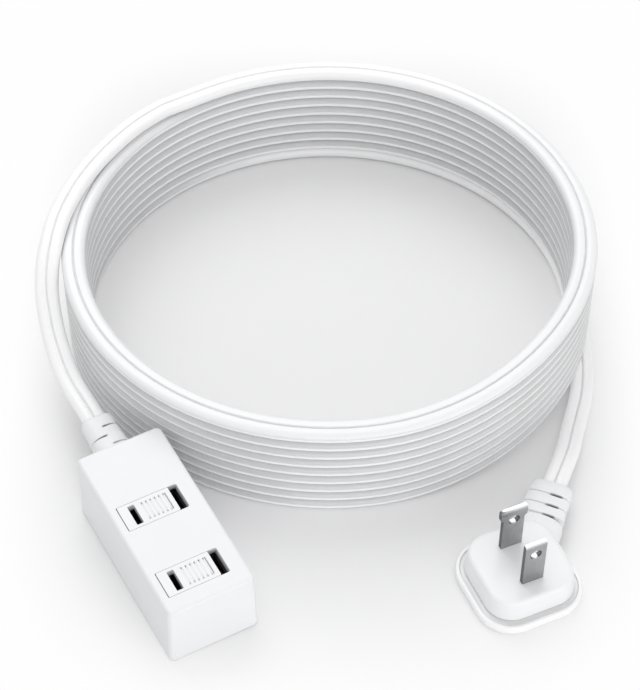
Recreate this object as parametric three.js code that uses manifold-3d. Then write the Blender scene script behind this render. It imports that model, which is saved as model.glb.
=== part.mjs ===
// Two-outlet household extension cord with sliding shutters: outlet tap, coiled flat twin cord, flat plug.
// Millimetres, +Z up. The origin is the middle of the tap's underside, +Y runs along the tap to its cord.
import * as THREE from 'three';
import { mergeVertices } from 'three/addons/utils/BufferGeometryUtils.js';
import Module from 'manifold-3d';

const wasm = await Module();
wasm.setup();

// ---- Clearances ----
const SEAT_GAP = 0.3; // between fixed pieces that seat on each other
const SLIDE_GAP = 0.25; // round a shutter in its window and guide
const BLADE_GAP = 0.15; // round a blade where it leaves the plug's face
const CUT_OVER = 1; // how far a cutter runs past the face that it opens

// ---- Outlet tap ----
const TAP_WIDTH = 25.6;
const TAP_HEIGHT = 21.8;
const FAR_END_MARGIN = 9.5; // from the far end face to the second outlet's centre
const OUTLET_SPACING = 24.4; // between the two outlets' centres
const CORD_END_MARGIN = 25.1; // from the first outlet's centre to the cord's end face
const TAP_CORNER = 1.7;
const TAP_DRAFT = 0.5; // each long side, outwards to the foot
const TAP_EDGE_ROUND = 1.1;
const SIDE_WALL = 1.8;
const FACE_WALL = 2;
const BASE_THICKNESS = 2;

// ---- Outlets and shutters ----
const BLADE_PITCH = 12.7; // centre to centre of the two blades
const WINDOW_LENGTH = 17.8; // along the shutter's travel
const WINDOW_WIDTH = 8.8;
const OPEN_SLOT_WIDTH = 2.3; // the part of the window that the open shutter leaves free
const SHUTTER_SLOT_WIDTH = 2;
const SHUTTER_SLOT_LENGTH = 6.8;
const SHUTTER_FLANGE = 1.1; // thickness of the plate that runs under the face
const SHUTTER_LIP = 1.2; // how far that plate reaches past the window on each side
const GRIP_LENGTH = 7.4;
const GRIP_WIDTH = 6.3;
const GRIP_DEPTH = 0.8;
const GRIP_RIBS = 6;
const GRIP_RIB_RADIUS = 0.36;

// ---- Contact carrier and contact bars ----
const DECK_THICKNESS = 2;
const CARRIER_WALL = 1.1;
const CARRIER_PAST_POST = 4.4; // to its open end, where the cores come in
const DECK_SLOT_WIDTH = 2.2;
const LIVE_SLOT_LENGTH = 7.2;
const WIDE_SLOT_LENGTH = 8.8;
const BAR_METAL = 0.5;
const BAR_HALF_WIDTH = 2.4;
const BAR_HEIGHT = 3.5; // middle of the bar's flat strip
const LEAF_LENGTH = 6.4;
const LEAF_SHOULDER_HEIGHT = 7;
const LEAF_THROAT_HEIGHT = 12;
const LEAF_THROAT_GAP = 1.3; // a blade springs this open
const LEAF_MOUTH_HALF = 1.9;
const LEAF_TO_DECK = 0.8;
const CRIMP_LENGTH = 4.4;
const CRIMP_FIT = 0.15; // inside the crimp, round the core
const CRIMP_SPLIT = 100; // degrees of the barrel that stay open

// ---- Screws of the tap ----
const POST_RADIUS = 3;
const SCREW_RADIUS = 1.25;
const SCREW_HEAD_RADIUS = 2.5;
const SCREW_HEAD_HEIGHT = 1.4;
const SCREW_LENGTH = 12;
const SCREW_PAD_HEIGHT = 3.6;
const SCREW_PAD_RADIUS = 4.2;
const SCREW_RECESS_WIDTH = 0.7;
const SCREW_RECESS_SPAN = 3;

// ---- Strain relief at the tap ----
const BOOT_AXIS_HEIGHT = 13;
const BOOT_REACH = 16.3; // past the housing's end face
const BOOT_ROOT = { width: 10.6, height: 9.4 };
const BOOT_TIP = { width: 9.4, height: 6.6 };
const BOOT_WAIST = { width: 9, height: 7.4 };
const BOOT_FLANGE = { width: 11.4, height: 9.8, thickness: 2.5 };
const BOOT_CORE = { width: 8, height: 4.6 };
const BOOT_SLITS = 3;
const BOOT_SLIT_WIDTH = 0.9;
const BOOT_SLIT_STEP = 3.8;
const BOOT_FIRST_SLIT = 3.6; // from the housing's end face
const BOOT_SLIT_OVERRUN = 0.6; // how far a half slit runs past the middle

// ---- Flat twin cord ----
const CORD_WIDTH = 7;
const CORD_THICKNESS = 3.2;
const CORD_FACET_LIFT = 0.5; // half height of the tube's side facets over its half thickness
const CORE_RADIUS = 1.25;
const CORE_OFFSET = 1.75; // each core's distance from the cord's middle
const COIL_HALF_LENGTH = 75.3; // half axes of the coil, to the middle of the cord
const COIL_HALF_DEPTH = 71.7;
const TURN_PITCH = 3.68; // height of one turn on the next
const WHOLE_TURNS = 9;
const COIL_START_ANGLE = 120; // where the cord joins the top of the coil
const STEPS_PER_TURN = 24;
const CLIMB_START = 280; // each turn climbs on the one below between these angles
const CLIMB_END = 332;
const COIL_CENTRE = [84, 60.9];
const COIL_TURNED = -28.5; // degrees, the laid cord against the tap

// ---- Plug ----
const PLUG_CENTRE = [52, -99.7]; // in the laid cord's own frame
const PLUG_TURNED = 23.7;
const COVER_HALF = 15.5;
const COVER_CORNER = 10;
const COVER_THICKNESS = 2.9;
const COVER_ROUND = 0.8;
const LEDGE_WIDTH = 2.25; // of the cover, left open round the body
const CHANNEL_WIDTH = 1.1; // a shallow channel in that ledge, next to the body
const CHANNEL_DEPTH = 0.4;
const PLUG_HEIGHT = 10.1; // table to the face that carries the blades
const BODY_DRAFT = 0.6;
const BODY_ROUND = 1.4;
const POCKET_HALF = 11.6;
const POCKET_CORNER = 6.1;
const PLUG_FACE_WALL = 1.6;
const BRIDGE_HALF_WIDTH = 7;
const BRIDGE_HALF_LENGTH = 8.4;
const BRIDGE_THICKNESS = 1.3;

// ---- Blades ----
const BLADE_LENGTH = 16.5;
const BLADE_WIDTH = 6.35;
const WIDE_TIP_EXTRA = 0.8; // on each side
const WIDE_TIP_LENGTH = 3.6;
const BLADE_THICKNESS = 1.5;
const BLADE_HOLE_RADIUS = 1.6;
const BLADE_HOLE_HEIGHT = 11.9; // above the plug's face
const BLADE_TIP_CHAMFER = 1.1;
const BLADE_TIP_FLAT = 0.7;
const BLADE_CORNER = 0.7;

// ---- Strain relief at the plug, along the body's diagonal ----
const NECK_END = { at: 18.5, width: 13.6, bottom: 3.3, top: 8.3 };
const NECK_ROOT_WIDTH = 14.2;
const NECK_CROWN = 6; // how squarely the neck's sides turn into its top
const NECK_EASE = 18; // how squarely its sides turn into its end
const NECK_FILLET = 0.8; // how softly it runs into the body's wall
const BODY_RING_STEPS = 72;
const SLEEVE_TIP = { at: 31.8, width: 9, bottom: 2.4, top: 6.8 };
const SLEEVE_SHOULDER = { at: 30, width: 12, bottom: 1.5, top: 7.3 };
const SLEEVE_TAIL = { at: 13.5, width: 7.8, bottom: 3.5, top: 6.8 };
const TAIL_ROOM = 2; // free length in the body before the tail
const SLEEVE_SLITS = [22.7, 26.8];
const SLEEVE_SLIT_WIDTH = 0.9;
const SLEEVE_SLIT_DEPTH = 0.5;
const SLEEVE_NOTCH_WIDTH = 4.4; // the deeper middle of each slit
const SLEEVE_NOTCH_DEPTH = 1.1;
const PLUG_CORD_HEIGHT = 4.6;
const CORE_BEND_RADIUS = 1.6; // where a core turns into its crimp
const NEUTRAL_CORE_WAY = [[7.68, 9.95, 5.15], [7.52, 9.2, 5.12], [7.56, 8.2, 5.1]];
const LINE_CORE_WAY = [
  [10.02, 7.2, 5.15], [9.95, 6.3, 5.1], [9.9, 4, 5.1], [9.75, 1, 5.1], [9.3, -1.4, 5.1], [8.6, -3, 5.1],
  [7.95, -4.2, 5.1],
];

// Routes of the cord where it isn't coiled, in the laid cord's own frame.
const TAP_LEAD_ROUTE = [
  [-66.76, -53.09, 13], [-70.1, -46.94, 13], [-72.9, -42.3, 13.5], [-75.2, -38.3, 14.5],
  [-77.1, -34.3, 16], [-78.6, -30.5, 17.9], [-80, -26.7, 20.2], [-81, -23, 22.7],
  [-81.8, -19.4, 25.2], [-82.3, -15.7, 27.6], [-82.4, -11.8, 29.8], [-82.2, -7.6, 31.8],
  [-81.6, -3, 33.4], [-80.8, 2.2, 34.6], [-79.6, 8.2, 34.96], [-78, 14, 34.96],
  [-76.1, 19.6, 34.96], [-73.8, 25, 34.96], [-71.2, 30, 34.96], [-68.3, 34.9, 34.96],
  [-65.2, 39.6, 34.96], [-61.8, 44.1, 34.96], [-58.2, 48.2, 34.96], [-54.2, 51.9, 34.96],
  [-50.17, 55.2, 34.96], [-44.04, 58.57, 34.96],
];
const PLUG_LEAD_ROUTE = [
  [75.3, -7.3, 1.84], [75.4, -14.3, 1.84], [75.7, -22, 1.84], [75.1, -30, 1.84],
  [73.8, -37, 1.85], [72.1, -43.3, 2], [70.4, -49.6, 2.7], [68.9, -55.6, 3.7],
  [67.6, -59.6, 4.3], [66.06, -63.64, 4.58], [63.66, -69.79, 4.6],
];
const TAP_LEAD_STEPS = 34;
const PLUG_LEAD_STEPS = 18;

// ---- Finishes ----
const finish = (color, roughness, metalness = 0) =>
  new THREE.MeshStandardMaterial({ color, roughness, metalness });
const WHITE_SHELL = finish(0xf1f2f5, 0.42);
const WHITE_SLIDER = finish(0xf4f5f7, 0.38);
const WHITE_PVC = finish(0xeff0f2, 0.5);
const INNER_PLASTIC = finish(0x262628, 0.6);
const NICKEL = finish(0xb6b8bb, 0.28, 1);
const BRASS = finish(0xc9a657, 0.35, 1);
const STEEL = finish(0x9fa3a8, 0.35, 1);

// ---- Derived places ----
const TAP_LENGTH = FAR_END_MARGIN + OUTLET_SPACING + CORD_END_MARGIN;
const INNER_CORNER = Math.max(TAP_CORNER - SIDE_WALL, SEAT_GAP);
const INNER_HALF_X = TAP_WIDTH / 2 - SIDE_WALL;
const INNER_HALF_Y = TAP_LENGTH / 2 - SIDE_WALL;
const FACE_UNDERSIDE = TAP_HEIGHT - FACE_WALL;
const DECK_TOP = FACE_UNDERSIDE - SHUTTER_FLANGE - 2 * SLIDE_GAP;
const DECK_BOTTOM = DECK_TOP - DECK_THICKNESS;
const SLOT_X = BLADE_PITCH / 2;
const FIRST_OUTLET_Y = TAP_LENGTH / 2 - CORD_END_MARGIN;
const OUTLET_YS = [FIRST_OUTLET_Y, FIRST_OUTLET_Y - OUTLET_SPACING];
const POST_YS = OUTLET_YS.map((y) => y + OUTLET_SPACING / 2);
const CARRIER_END_Y = POST_YS[0] + CARRIER_PAST_POST;
const OPEN_SLOT_END = SLOT_X + OPEN_SLOT_WIDTH / 2; // window edge beyond the open slot
const WINDOW_START = OPEN_SLOT_END - WINDOW_LENGTH;
const SHUTTER_END = SLOT_X - OPEN_SLOT_WIDTH / 2; // the open shutter's free edge
const CRIMP_RADIUS = CORE_RADIUS + CRIMP_FIT;
const POST_FOOT = SCREW_PAD_HEIGHT + SEAT_GAP;
const FLOOR_CORD_HEIGHT = TURN_PITCH / 2;
const POCKET_TOP = PLUG_HEIGHT - PLUG_FACE_WALL;
const BRIDGE_TOP = POCKET_TOP - SEAT_GAP;
const BODY_BOTTOM = COVER_THICKNESS + SEAT_GAP;
const BODY_HALF = COVER_HALF - LEDGE_WIDTH; // at the wall's foot
const BODY_CORNER = COVER_CORNER - LEDGE_WIDTH;
const BLADE_FOOT_HEIGHT = BODY_BOTTOM + BAR_METAL / 4; // lowest edge, in the wall of its crimp
const BLADE_CORE_HEIGHT = BODY_BOTTOM + BAR_METAL + CRIMP_RADIUS; // axis of the crimp at its foot
const DIAGONAL = Math.PI / 4;

// ---- Geometry helpers ----
function toSolid(geometry) {
  const bare = geometry.clone();
  bare.deleteAttribute('normal');
  bare.deleteAttribute('uv');
  const merged = mergeVertices(bare, 1e-4);
  const vertProperties = Float32Array.from(merged.getAttribute('position').array);
  const triVerts = Uint32Array.from(merged.getIndex().array);
  return new wasm.Manifold(new wasm.Mesh({ numProp: 3, vertProperties, triVerts }));
}

function toGeometry(solid) {
  const mesh = solid.getMesh();
  const geometry = new THREE.BufferGeometry();
  geometry.setAttribute('position', new THREE.BufferAttribute(Float32Array.from(mesh.vertProperties), 3));
  geometry.setIndex(new THREE.BufferAttribute(Uint32Array.from(mesh.triVerts), 1));
  geometry.computeVertexNormals();
  return geometry;
}

// A box between two corners.
function box(x0, x1, y0, y1, z0, z1) {
  const geometry = new THREE.BoxGeometry(x1 - x0, y1 - y0, z1 - z0);
  geometry.translate((x0 + x1) / 2, (y0 + y1) / 2, (z0 + z1) / 2);
  return toSolid(geometry);
}

// An upright cylinder between two heights.
function post(x, y, radius, z0, z1, sides = 24) {
  const geometry = new THREE.CylinderGeometry(radius, radius, z1 - z0, sides);
  geometry.rotateX(Math.PI / 2);
  geometry.translate(x, y, (z0 + z1) / 2);
  return toSolid(geometry);
}

// The points of a rectangle with round corners, anticlockwise.
function roundRing(halfX, halfY, radius, cornerSteps) {
  const ring = [];
  const corners = [[1, 1], [-1, 1], [-1, -1], [1, -1]];
  corners.forEach(([sideX, sideY], corner) => {
    for (let step = 0; step <= cornerSteps; step += 1) {
      const angle = (corner + step / cornerSteps) * (Math.PI / 2);
      const x = sideX * (halfX - radius) + radius * Math.cos(angle);
      const y = sideY * (halfY - radius) + radius * Math.sin(angle);
      ring.push([x, y]);
    }
  });
  return ring;
}

// A closed skin over a stack of rings with equal counts: each ring is a list of THREE.Vector3.
function skin(rings) {
  const count = rings[0].length;
  const positions = [];
  const index = [];
  rings.forEach((ring) => ring.forEach((point) => positions.push(point.x, point.y, point.z)));
  for (let level = 0; level < rings.length - 1; level += 1) {
    for (let side = 0; side < count; side += 1) {
      const a = level * count + side;
      const b = level * count + ((side + 1) % count);
      index.push(a, b, b + count, a, b + count, a + count);
    }
  }
  [0, rings.length - 1].forEach((level) => {
    const middle = new THREE.Vector3();
    rings[level].forEach((point) => middle.addScaledVector(point, 1 / count));
    const hub = positions.length / 3;
    positions.push(middle.x, middle.y, middle.z);
    for (let side = 0; side < count; side += 1) {
      const a = level * count + side;
      const b = level * count + ((side + 1) % count);
      index.push(...(level === 0 ? [hub, b, a] : [hub, a, b]));
    }
  });
  const geometry = new THREE.BufferGeometry();
  geometry.setAttribute('position', new THREE.Float32BufferAttribute(positions, 3));
  geometry.setIndex(index);
  geometry.computeVertexNormals();
  return geometry;
}

// A stack of round-cornered rectangles: each level gives z, halfX, halfY and corner radius.
function stack(levels, cornerSteps = 5) {
  const rings = levels.map(({ z, halfX, halfY, corner }) =>
    roundRing(halfX, halfY, corner, cornerSteps).map(([x, y]) => new THREE.Vector3(x, y, z)));
  return skin(rings);
}

// The levels of a quarter-round edge, from the full outline in by the radius.
function edgeLevels({ halfX, halfY, corner }, z, radius, upward, steps = 3) {
  const levels = [];
  for (let step = 0; step <= steps; step += 1) {
    const angle = (step / steps) * (Math.PI / 2);
    const inset = radius * (1 - Math.cos(angle));
    const rise = radius * Math.sin(angle);
    levels.push({
      z: upward ? z - radius + rise : z + radius - rise,
      halfX: halfX - inset,
      halfY: halfY - inset,
      corner: corner - inset,
    });
  }
  return upward ? levels : levels.reverse();
}

// A plain prism with round corners.
function prism(halfX, halfY, corner, z0, z1, cornerSteps = 5) {
  const outline = { halfX, halfY, corner };
  return toSolid(stack([{ z: z0, ...outline }, { z: z1, ...outline }], cornerSteps));
}

// A loft along +Y of round-cornered sections: each gives at, width, bottom, top and corner.
function loftAlongY(sections, cornerSteps = 4) {
  const rings = sections.map(({ at, width, bottom, top, corner }) => {
    const middle = (bottom + top) / 2;
    const ring = roundRing(width / 2, (top - bottom) / 2, corner, cornerSteps);
    return ring.map(([x, z]) => new THREE.Vector3(-x, at, middle + z));
  });
  return toSolid(skin(rings));
}

// A bent metal strip: the outline of a centre line given its thickness, in one plane.
function stripShape(line, thickness) {
  const points = line.map(([x, y]) => new THREE.Vector2(x, y));
  const normalOf = (a, b) => new THREE.Vector2(a.y - b.y, b.x - a.x).normalize();
  const offsets = points.map((point, i) => {
    const before = i > 0 ? normalOf(points[i - 1], point) : normalOf(point, points[i + 1]);
    const after = i < points.length - 1 ? normalOf(point, points[i + 1]) : before;
    const mitre = before.clone().add(after).normalize();
    return mitre.multiplyScalar(thickness / 2 / mitre.dot(before));
  });
  const left = points.map((point, i) => point.clone().add(offsets[i]));
  const right = points.map((point, i) => point.clone().sub(offsets[i]));
  return new THREE.Shape([...left, ...right.reverse()]);
}

// A shape drawn in X and Z, carried along +Y from y0 to y1.
function extrudeY(shape, y0, y1) {
  const geometry = new THREE.ExtrudeGeometry(shape, { depth: y1 - y0, bevelEnabled: false, curveSegments: 12 });
  geometry.rotateX(Math.PI / 2);
  geometry.translate(0, y1, 0);
  return toSolid(geometry);
}

// A round wire along a smooth line through the given points.
function wire(points, radius, steps) {
  const path = new THREE.CatmullRomCurve3(points.map((point) => new THREE.Vector3(...point)), false, 'centripetal');
  const circle = new THREE.Shape();
  circle.absarc(0, 0, radius, 0, 2 * Math.PI);
  const options = { steps, extrudePath: path, bevelEnabled: false, curveSegments: 8 };
  return toSolid(new THREE.ExtrudeGeometry(circle, options));
}

// An open crimp barrel along +Y, its axis at the origin, split along its top.
function crimpBarrel(length) {
  const arc = [];
  const sweep = 360 - CRIMP_SPLIT;
  const bends = 10;
  for (let bend = 0; bend <= bends; bend += 1) {
    const angle = THREE.MathUtils.degToRad(90 + CRIMP_SPLIT / 2 + (sweep * bend) / bends);
    const radius = CRIMP_RADIUS + BAR_METAL / 2;
    arc.push([radius * Math.cos(angle), radius * Math.sin(angle)]);
  }
  return extrudeY(stripShape(arc, BAR_METAL), 0, length);
}

function named(name, solid, material) {
  const geometry = solid.isBufferGeometry ? solid : toGeometry(solid);
  const mesh = new THREE.Mesh(geometry, material);
  mesh.name = name;
  return mesh;
}

// ---- Outlet tap ----
function tapHousing() {
  const outline = { halfX: TAP_WIDTH / 2, halfY: TAP_LENGTH / 2, corner: TAP_CORNER };
  const foot = { z: 0, ...outline, halfX: outline.halfX + TAP_DRAFT };
  const crown = edgeLevels(outline, TAP_HEIGHT, TAP_EDGE_ROUND, true, 5);
  let shell = toSolid(stack([foot, ...crown], 8));
  shell = shell.subtract(prism(INNER_HALF_X, INNER_HALF_Y, INNER_CORNER, -CUT_OVER, FACE_UNDERSIDE));
  OUTLET_YS.forEach((y) => {
    const half = WINDOW_WIDTH / 2;
    shell = shell.subtract(
      box(WINDOW_START, OPEN_SLOT_END, y - half, y + half, FACE_UNDERSIDE - CUT_OVER, TAP_HEIGHT + CUT_OVER),
    );
  });
  POST_YS.forEach((y) => {
    shell = shell.add(post(0, y, POST_RADIUS, POST_FOOT, FACE_UNDERSIDE + FACE_WALL / 2));
    const holeTop = SCREW_LENGTH + BASE_THICKNESS + CUT_OVER;
    shell = shell.subtract(post(0, y, SCREW_RADIUS + SEAT_GAP, POST_FOOT - CUT_OVER, holeTop));
  });
  // Notch for the strain relief, open to the base, and a rib that presses on its flange.
  const notchHalf = BOOT_WAIST.width / 2 + SEAT_GAP;
  const notchTop = BOOT_AXIS_HEIGHT + BOOT_WAIST.height / 2 + SEAT_GAP;
  const wallIn = INNER_HALF_Y - CUT_OVER;
  shell = shell.subtract(box(-notchHalf, notchHalf, wallIn, TAP_LENGTH / 2 + CUT_OVER, -CUT_OVER, notchTop));
  const ribBottom = BOOT_AXIS_HEIGHT + BOOT_FLANGE.height / 2 + SEAT_GAP;
  const ribEnd = INNER_HALF_Y - SEAT_GAP;
  const ribHalf = BOOT_WAIST.width / 2;
  const ribStart = ribEnd - BOOT_FLANGE.thickness;
  shell = shell.add(box(-ribHalf, ribHalf, ribStart, ribEnd, ribBottom, FACE_UNDERSIDE + FACE_WALL / 2));
  return named('tap_housing', shell, WHITE_SHELL);
}

function tapBase() {
  const halfX = INNER_HALF_X - SEAT_GAP;
  const halfY = INNER_HALF_Y - SEAT_GAP;
  let plate = prism(halfX, halfY, INNER_CORNER, 0, BASE_THICKNESS);
  const sunk = BASE_THICKNESS / 2;
  const railTop = BAR_HEIGHT - BAR_METAL / 2 - SEAT_GAP;
  const railStart = OUTLET_YS[1] - LEAF_LENGTH / 2;
  const railEnd = POST_YS[0] - CRIMP_LENGTH;
  [-SLOT_X, SLOT_X].forEach((x) => {
    const railHalf = BAR_HALF_WIDTH - BAR_METAL;
    plate = plate.add(box(x - railHalf, x + railHalf, railStart, railEnd, sunk, railTop));
  });
  POST_YS.forEach((y) => {
    plate = plate.add(post(0, y, SCREW_PAD_RADIUS, sunk, SCREW_PAD_HEIGHT));
    const headTop = SCREW_HEAD_HEIGHT + 2 * SEAT_GAP;
    plate = plate.subtract(post(0, y, SCREW_HEAD_RADIUS + SEAT_GAP, -CUT_OVER, headTop));
    plate = plate.subtract(post(0, y, SCREW_RADIUS + SEAT_GAP, -CUT_OVER, SCREW_PAD_HEIGHT + CUT_OVER));
  });
  // Tongue that fills the housing's notch, and the saddle under the strain relief's flange.
  const tongueHalf = BOOT_WAIST.width / 2;
  const tongueTop = BOOT_AXIS_HEIGHT - BOOT_WAIST.height / 2 - SEAT_GAP;
  const saddleTop = BOOT_AXIS_HEIGHT - BOOT_FLANGE.height / 2 - SEAT_GAP;
  const saddleStart = halfY - BOOT_FLANGE.thickness;
  plate = plate.add(box(-tongueHalf, tongueHalf, saddleStart, TAP_LENGTH / 2, sunk, saddleTop));
  plate = plate.add(box(-tongueHalf, tongueHalf, INNER_HALF_Y, TAP_LENGTH / 2, 0, tongueTop));
  return named('tap_base', plate, WHITE_SHELL);
}

function baseScrew(name, y) {
  const headBottom = SEAT_GAP;
  const headTop = headBottom + SCREW_HEAD_HEIGHT;
  const profile = [
    [0, headBottom], [SCREW_HEAD_RADIUS - 0.4, headBottom], [SCREW_HEAD_RADIUS, headBottom + 0.4],
    [SCREW_HEAD_RADIUS, headTop], [SCREW_RADIUS, headTop], [SCREW_RADIUS, SCREW_LENGTH - SCREW_RADIUS],
    [0, SCREW_LENGTH],
  ].map(([x, z]) => new THREE.Vector2(x, z));
  const turned = new THREE.LatheGeometry(profile, 18);
  turned.rotateX(Math.PI / 2);
  let screw = toSolid(turned);
  const reach = SCREW_RECESS_SPAN / 2;
  const half = SCREW_RECESS_WIDTH / 2;
  const depth = headBottom + SCREW_HEAD_HEIGHT / 2;
  screw = screw.subtract(box(-reach, reach, -half, half, -CUT_OVER, depth));
  screw = screw.subtract(box(-half, half, -reach, reach, -CUT_OVER, depth));
  const mesh = named(name, screw, STEEL);
  mesh.position.set(0, y, 0);
  return mesh;
}

// A shutter in its open place: a boss flush with the face, and a plate that runs under the face.
function shutter(name, y) {
  const start = WINDOW_START + SLIDE_GAP;
  const end = SHUTTER_END;
  const half = WINDOW_WIDTH / 2 - SLIDE_GAP;
  const plateTop = FACE_UNDERSIDE - SLIDE_GAP;
  const plateBottom = plateTop - SHUTTER_FLANGE;
  const plateHalf = WINDOW_WIDTH / 2 + SHUTTER_LIP;
  let slider = prismBetween(start, end, -half, half, 0.4, plateBottom, TAP_HEIGHT);
  slider = slider.add(box(start, end, -plateHalf, plateHalf, plateBottom, plateTop));
  const slotHalf = SHUTTER_SLOT_WIDTH / 2;
  const slotReach = SHUTTER_SLOT_LENGTH / 2;
  const through = TAP_HEIGHT + CUT_OVER;
  slider = slider.subtract(
    box(-SLOT_X - slotHalf, -SLOT_X + slotHalf, -slotReach, slotReach, plateBottom - CUT_OVER, through),
  );
  const gripFloor = TAP_HEIGHT - GRIP_DEPTH;
  const gripHalf = GRIP_LENGTH / 2;
  slider = slider.subtract(
    prismBetween(-gripHalf, gripHalf, -GRIP_WIDTH / 2, GRIP_WIDTH / 2, 0.5, gripFloor, through),
  );
  for (let rib = 0; rib < GRIP_RIBS; rib += 1) {
    const x = GRIP_LENGTH * ((rib + 0.5) / GRIP_RIBS - 0.5);
    const bar = new THREE.CylinderGeometry(GRIP_RIB_RADIUS, GRIP_RIB_RADIUS, GRIP_WIDTH, 10);
    bar.translate(x, 0, 0);
    bar.translate(0, 0, gripFloor);
    slider = slider.add(toSolid(bar));
  }
  const mesh = named(name, slider, WHITE_SLIDER);
  mesh.position.set(0, y, 0);
  return mesh;
}

// A round-cornered prism between two corners.
function prismBetween(x0, x1, y0, y1, corner, z0, z1) {
  const solid = prism((x1 - x0) / 2, (y1 - y0) / 2, corner, z0, z1, 3);
  return solid.translate([(x0 + x1) / 2, (y0 + y1) / 2, 0]);
}

// The insulating deck under the shutters, on two side walls and an end wall that stand on the base.
function contactCarrier() {
  const outer = INNER_HALF_X - SEAT_GAP;
  const start = -INNER_HALF_Y + SEAT_GAP;
  const foot = BASE_THICKNESS + SEAT_GAP;
  const corner = CARRIER_WALL / 2;
  let tray = prismBetween(-outer, outer, start, CARRIER_END_Y, corner, foot, DECK_TOP);
  const inner = outer - CARRIER_WALL;
  const endWall = start + CARRIER_WALL;
  tray = tray.subtract(box(-inner, inner, endWall, CARRIER_END_Y + CUT_OVER, foot - CUT_OVER, DECK_BOTTOM));
  POST_YS.forEach((y) => {
    tray = tray.subtract(post(0, y, POST_RADIUS + SEAT_GAP, DECK_BOTTOM - CUT_OVER, DECK_TOP + CUT_OVER));
  });
  OUTLET_YS.forEach((y) => {
    [[-SLOT_X, LIVE_SLOT_LENGTH / 2], [SLOT_X, WIDE_SLOT_LENGTH / 2]].forEach(([x, reach]) => {
      const half = DECK_SLOT_WIDTH / 2;
      tray = tray.subtract(
        box(x - half, x + half, y - reach, y + reach, DECK_BOTTOM - CUT_OVER, DECK_TOP + CUT_OVER),
      );
    });
  });
  return named('contact_carrier', tray, INNER_PLASTIC);
}

// One stamped contact bar: a flat strip, a pair of spring leaves under each outlet, and a crimp barrel.
function contactBar(name, x) {
  const leafTop = DECK_BOTTOM - LEAF_TO_DECK;
  const throat = LEAF_THROAT_GAP / 2 + BAR_METAL / 2;
  const side = BAR_HALF_WIDTH - BAR_METAL / 2;
  const rising = [
    [side, BAR_HEIGHT], [side, LEAF_SHOULDER_HEIGHT], [throat, LEAF_THROAT_HEIGHT],
    [LEAF_MOUTH_HALF, leafTop],
  ];
  const mirrored = rising.map(([across, up]) => [-across, up]).reverse();
  const clip = stripShape([...mirrored, ...rising], BAR_METAL);
  const reach = LEAF_LENGTH / 2;
  const stripTop = BAR_HEIGHT + BAR_METAL / 2;
  const crimpEnd = POST_YS[0] + CRIMP_LENGTH / 2;
  const crimpStart = crimpEnd - CRIMP_LENGTH;
  let bar = box(-side, side, OUTLET_YS[1] - reach, crimpStart + BAR_METAL, stripTop - BAR_METAL, stripTop);
  OUTLET_YS.forEach((y) => {
    bar = bar.add(extrudeY(clip, y - reach, y + reach));
  });
  bar = bar.add(crimpBarrel(CRIMP_LENGTH).translate([0, crimpStart, tapCrimpHeight()]));
  const mesh = named(name, bar, BRASS);
  mesh.position.set(x, 0, 0);
  return mesh;
}

// Height of a crimp barrel's axis when its lowest inner line lies on the strip.
function tapCrimpHeight() {
  return BAR_HEIGHT - BAR_METAL / 2 + BAR_METAL + CRIMP_RADIUS;
}

// One half of the split cord, from the strain relief's inner face into its crimp.
function tapCore(name, side) {
  const crimpMouth = POST_YS[0] + CRIMP_LENGTH / 2;
  const low = tapCrimpHeight();
  const end = INNER_HALF_Y - 2 * SEAT_GAP - BOOT_FLANGE.thickness;
  const outward = side * (SLOT_X - CORE_OFFSET);
  const start = side * CORE_OFFSET;
  const fall = BOOT_AXIS_HEIGHT - low;
  const run = end - crimpMouth;
  const core = wire([
    [start, end, BOOT_AXIS_HEIGHT],
    [start, end - CORE_RADIUS, BOOT_AXIS_HEIGHT],
    [start + outward * 0.12, end - run * 0.36, BOOT_AXIS_HEIGHT - fall * 0.16],
    [start + outward * 0.5, end - run * 0.56, BOOT_AXIS_HEIGHT - fall * 0.5],
    [start + outward * 0.92, end - run * 0.76, low + fall * 0.08],
    [side * SLOT_X, crimpMouth + 0.3, low],
    [side * SLOT_X, crimpMouth - CRIMP_LENGTH, low],
  ], CORE_RADIUS, 14);
  return named(name, core, WHITE_PVC);
}

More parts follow.
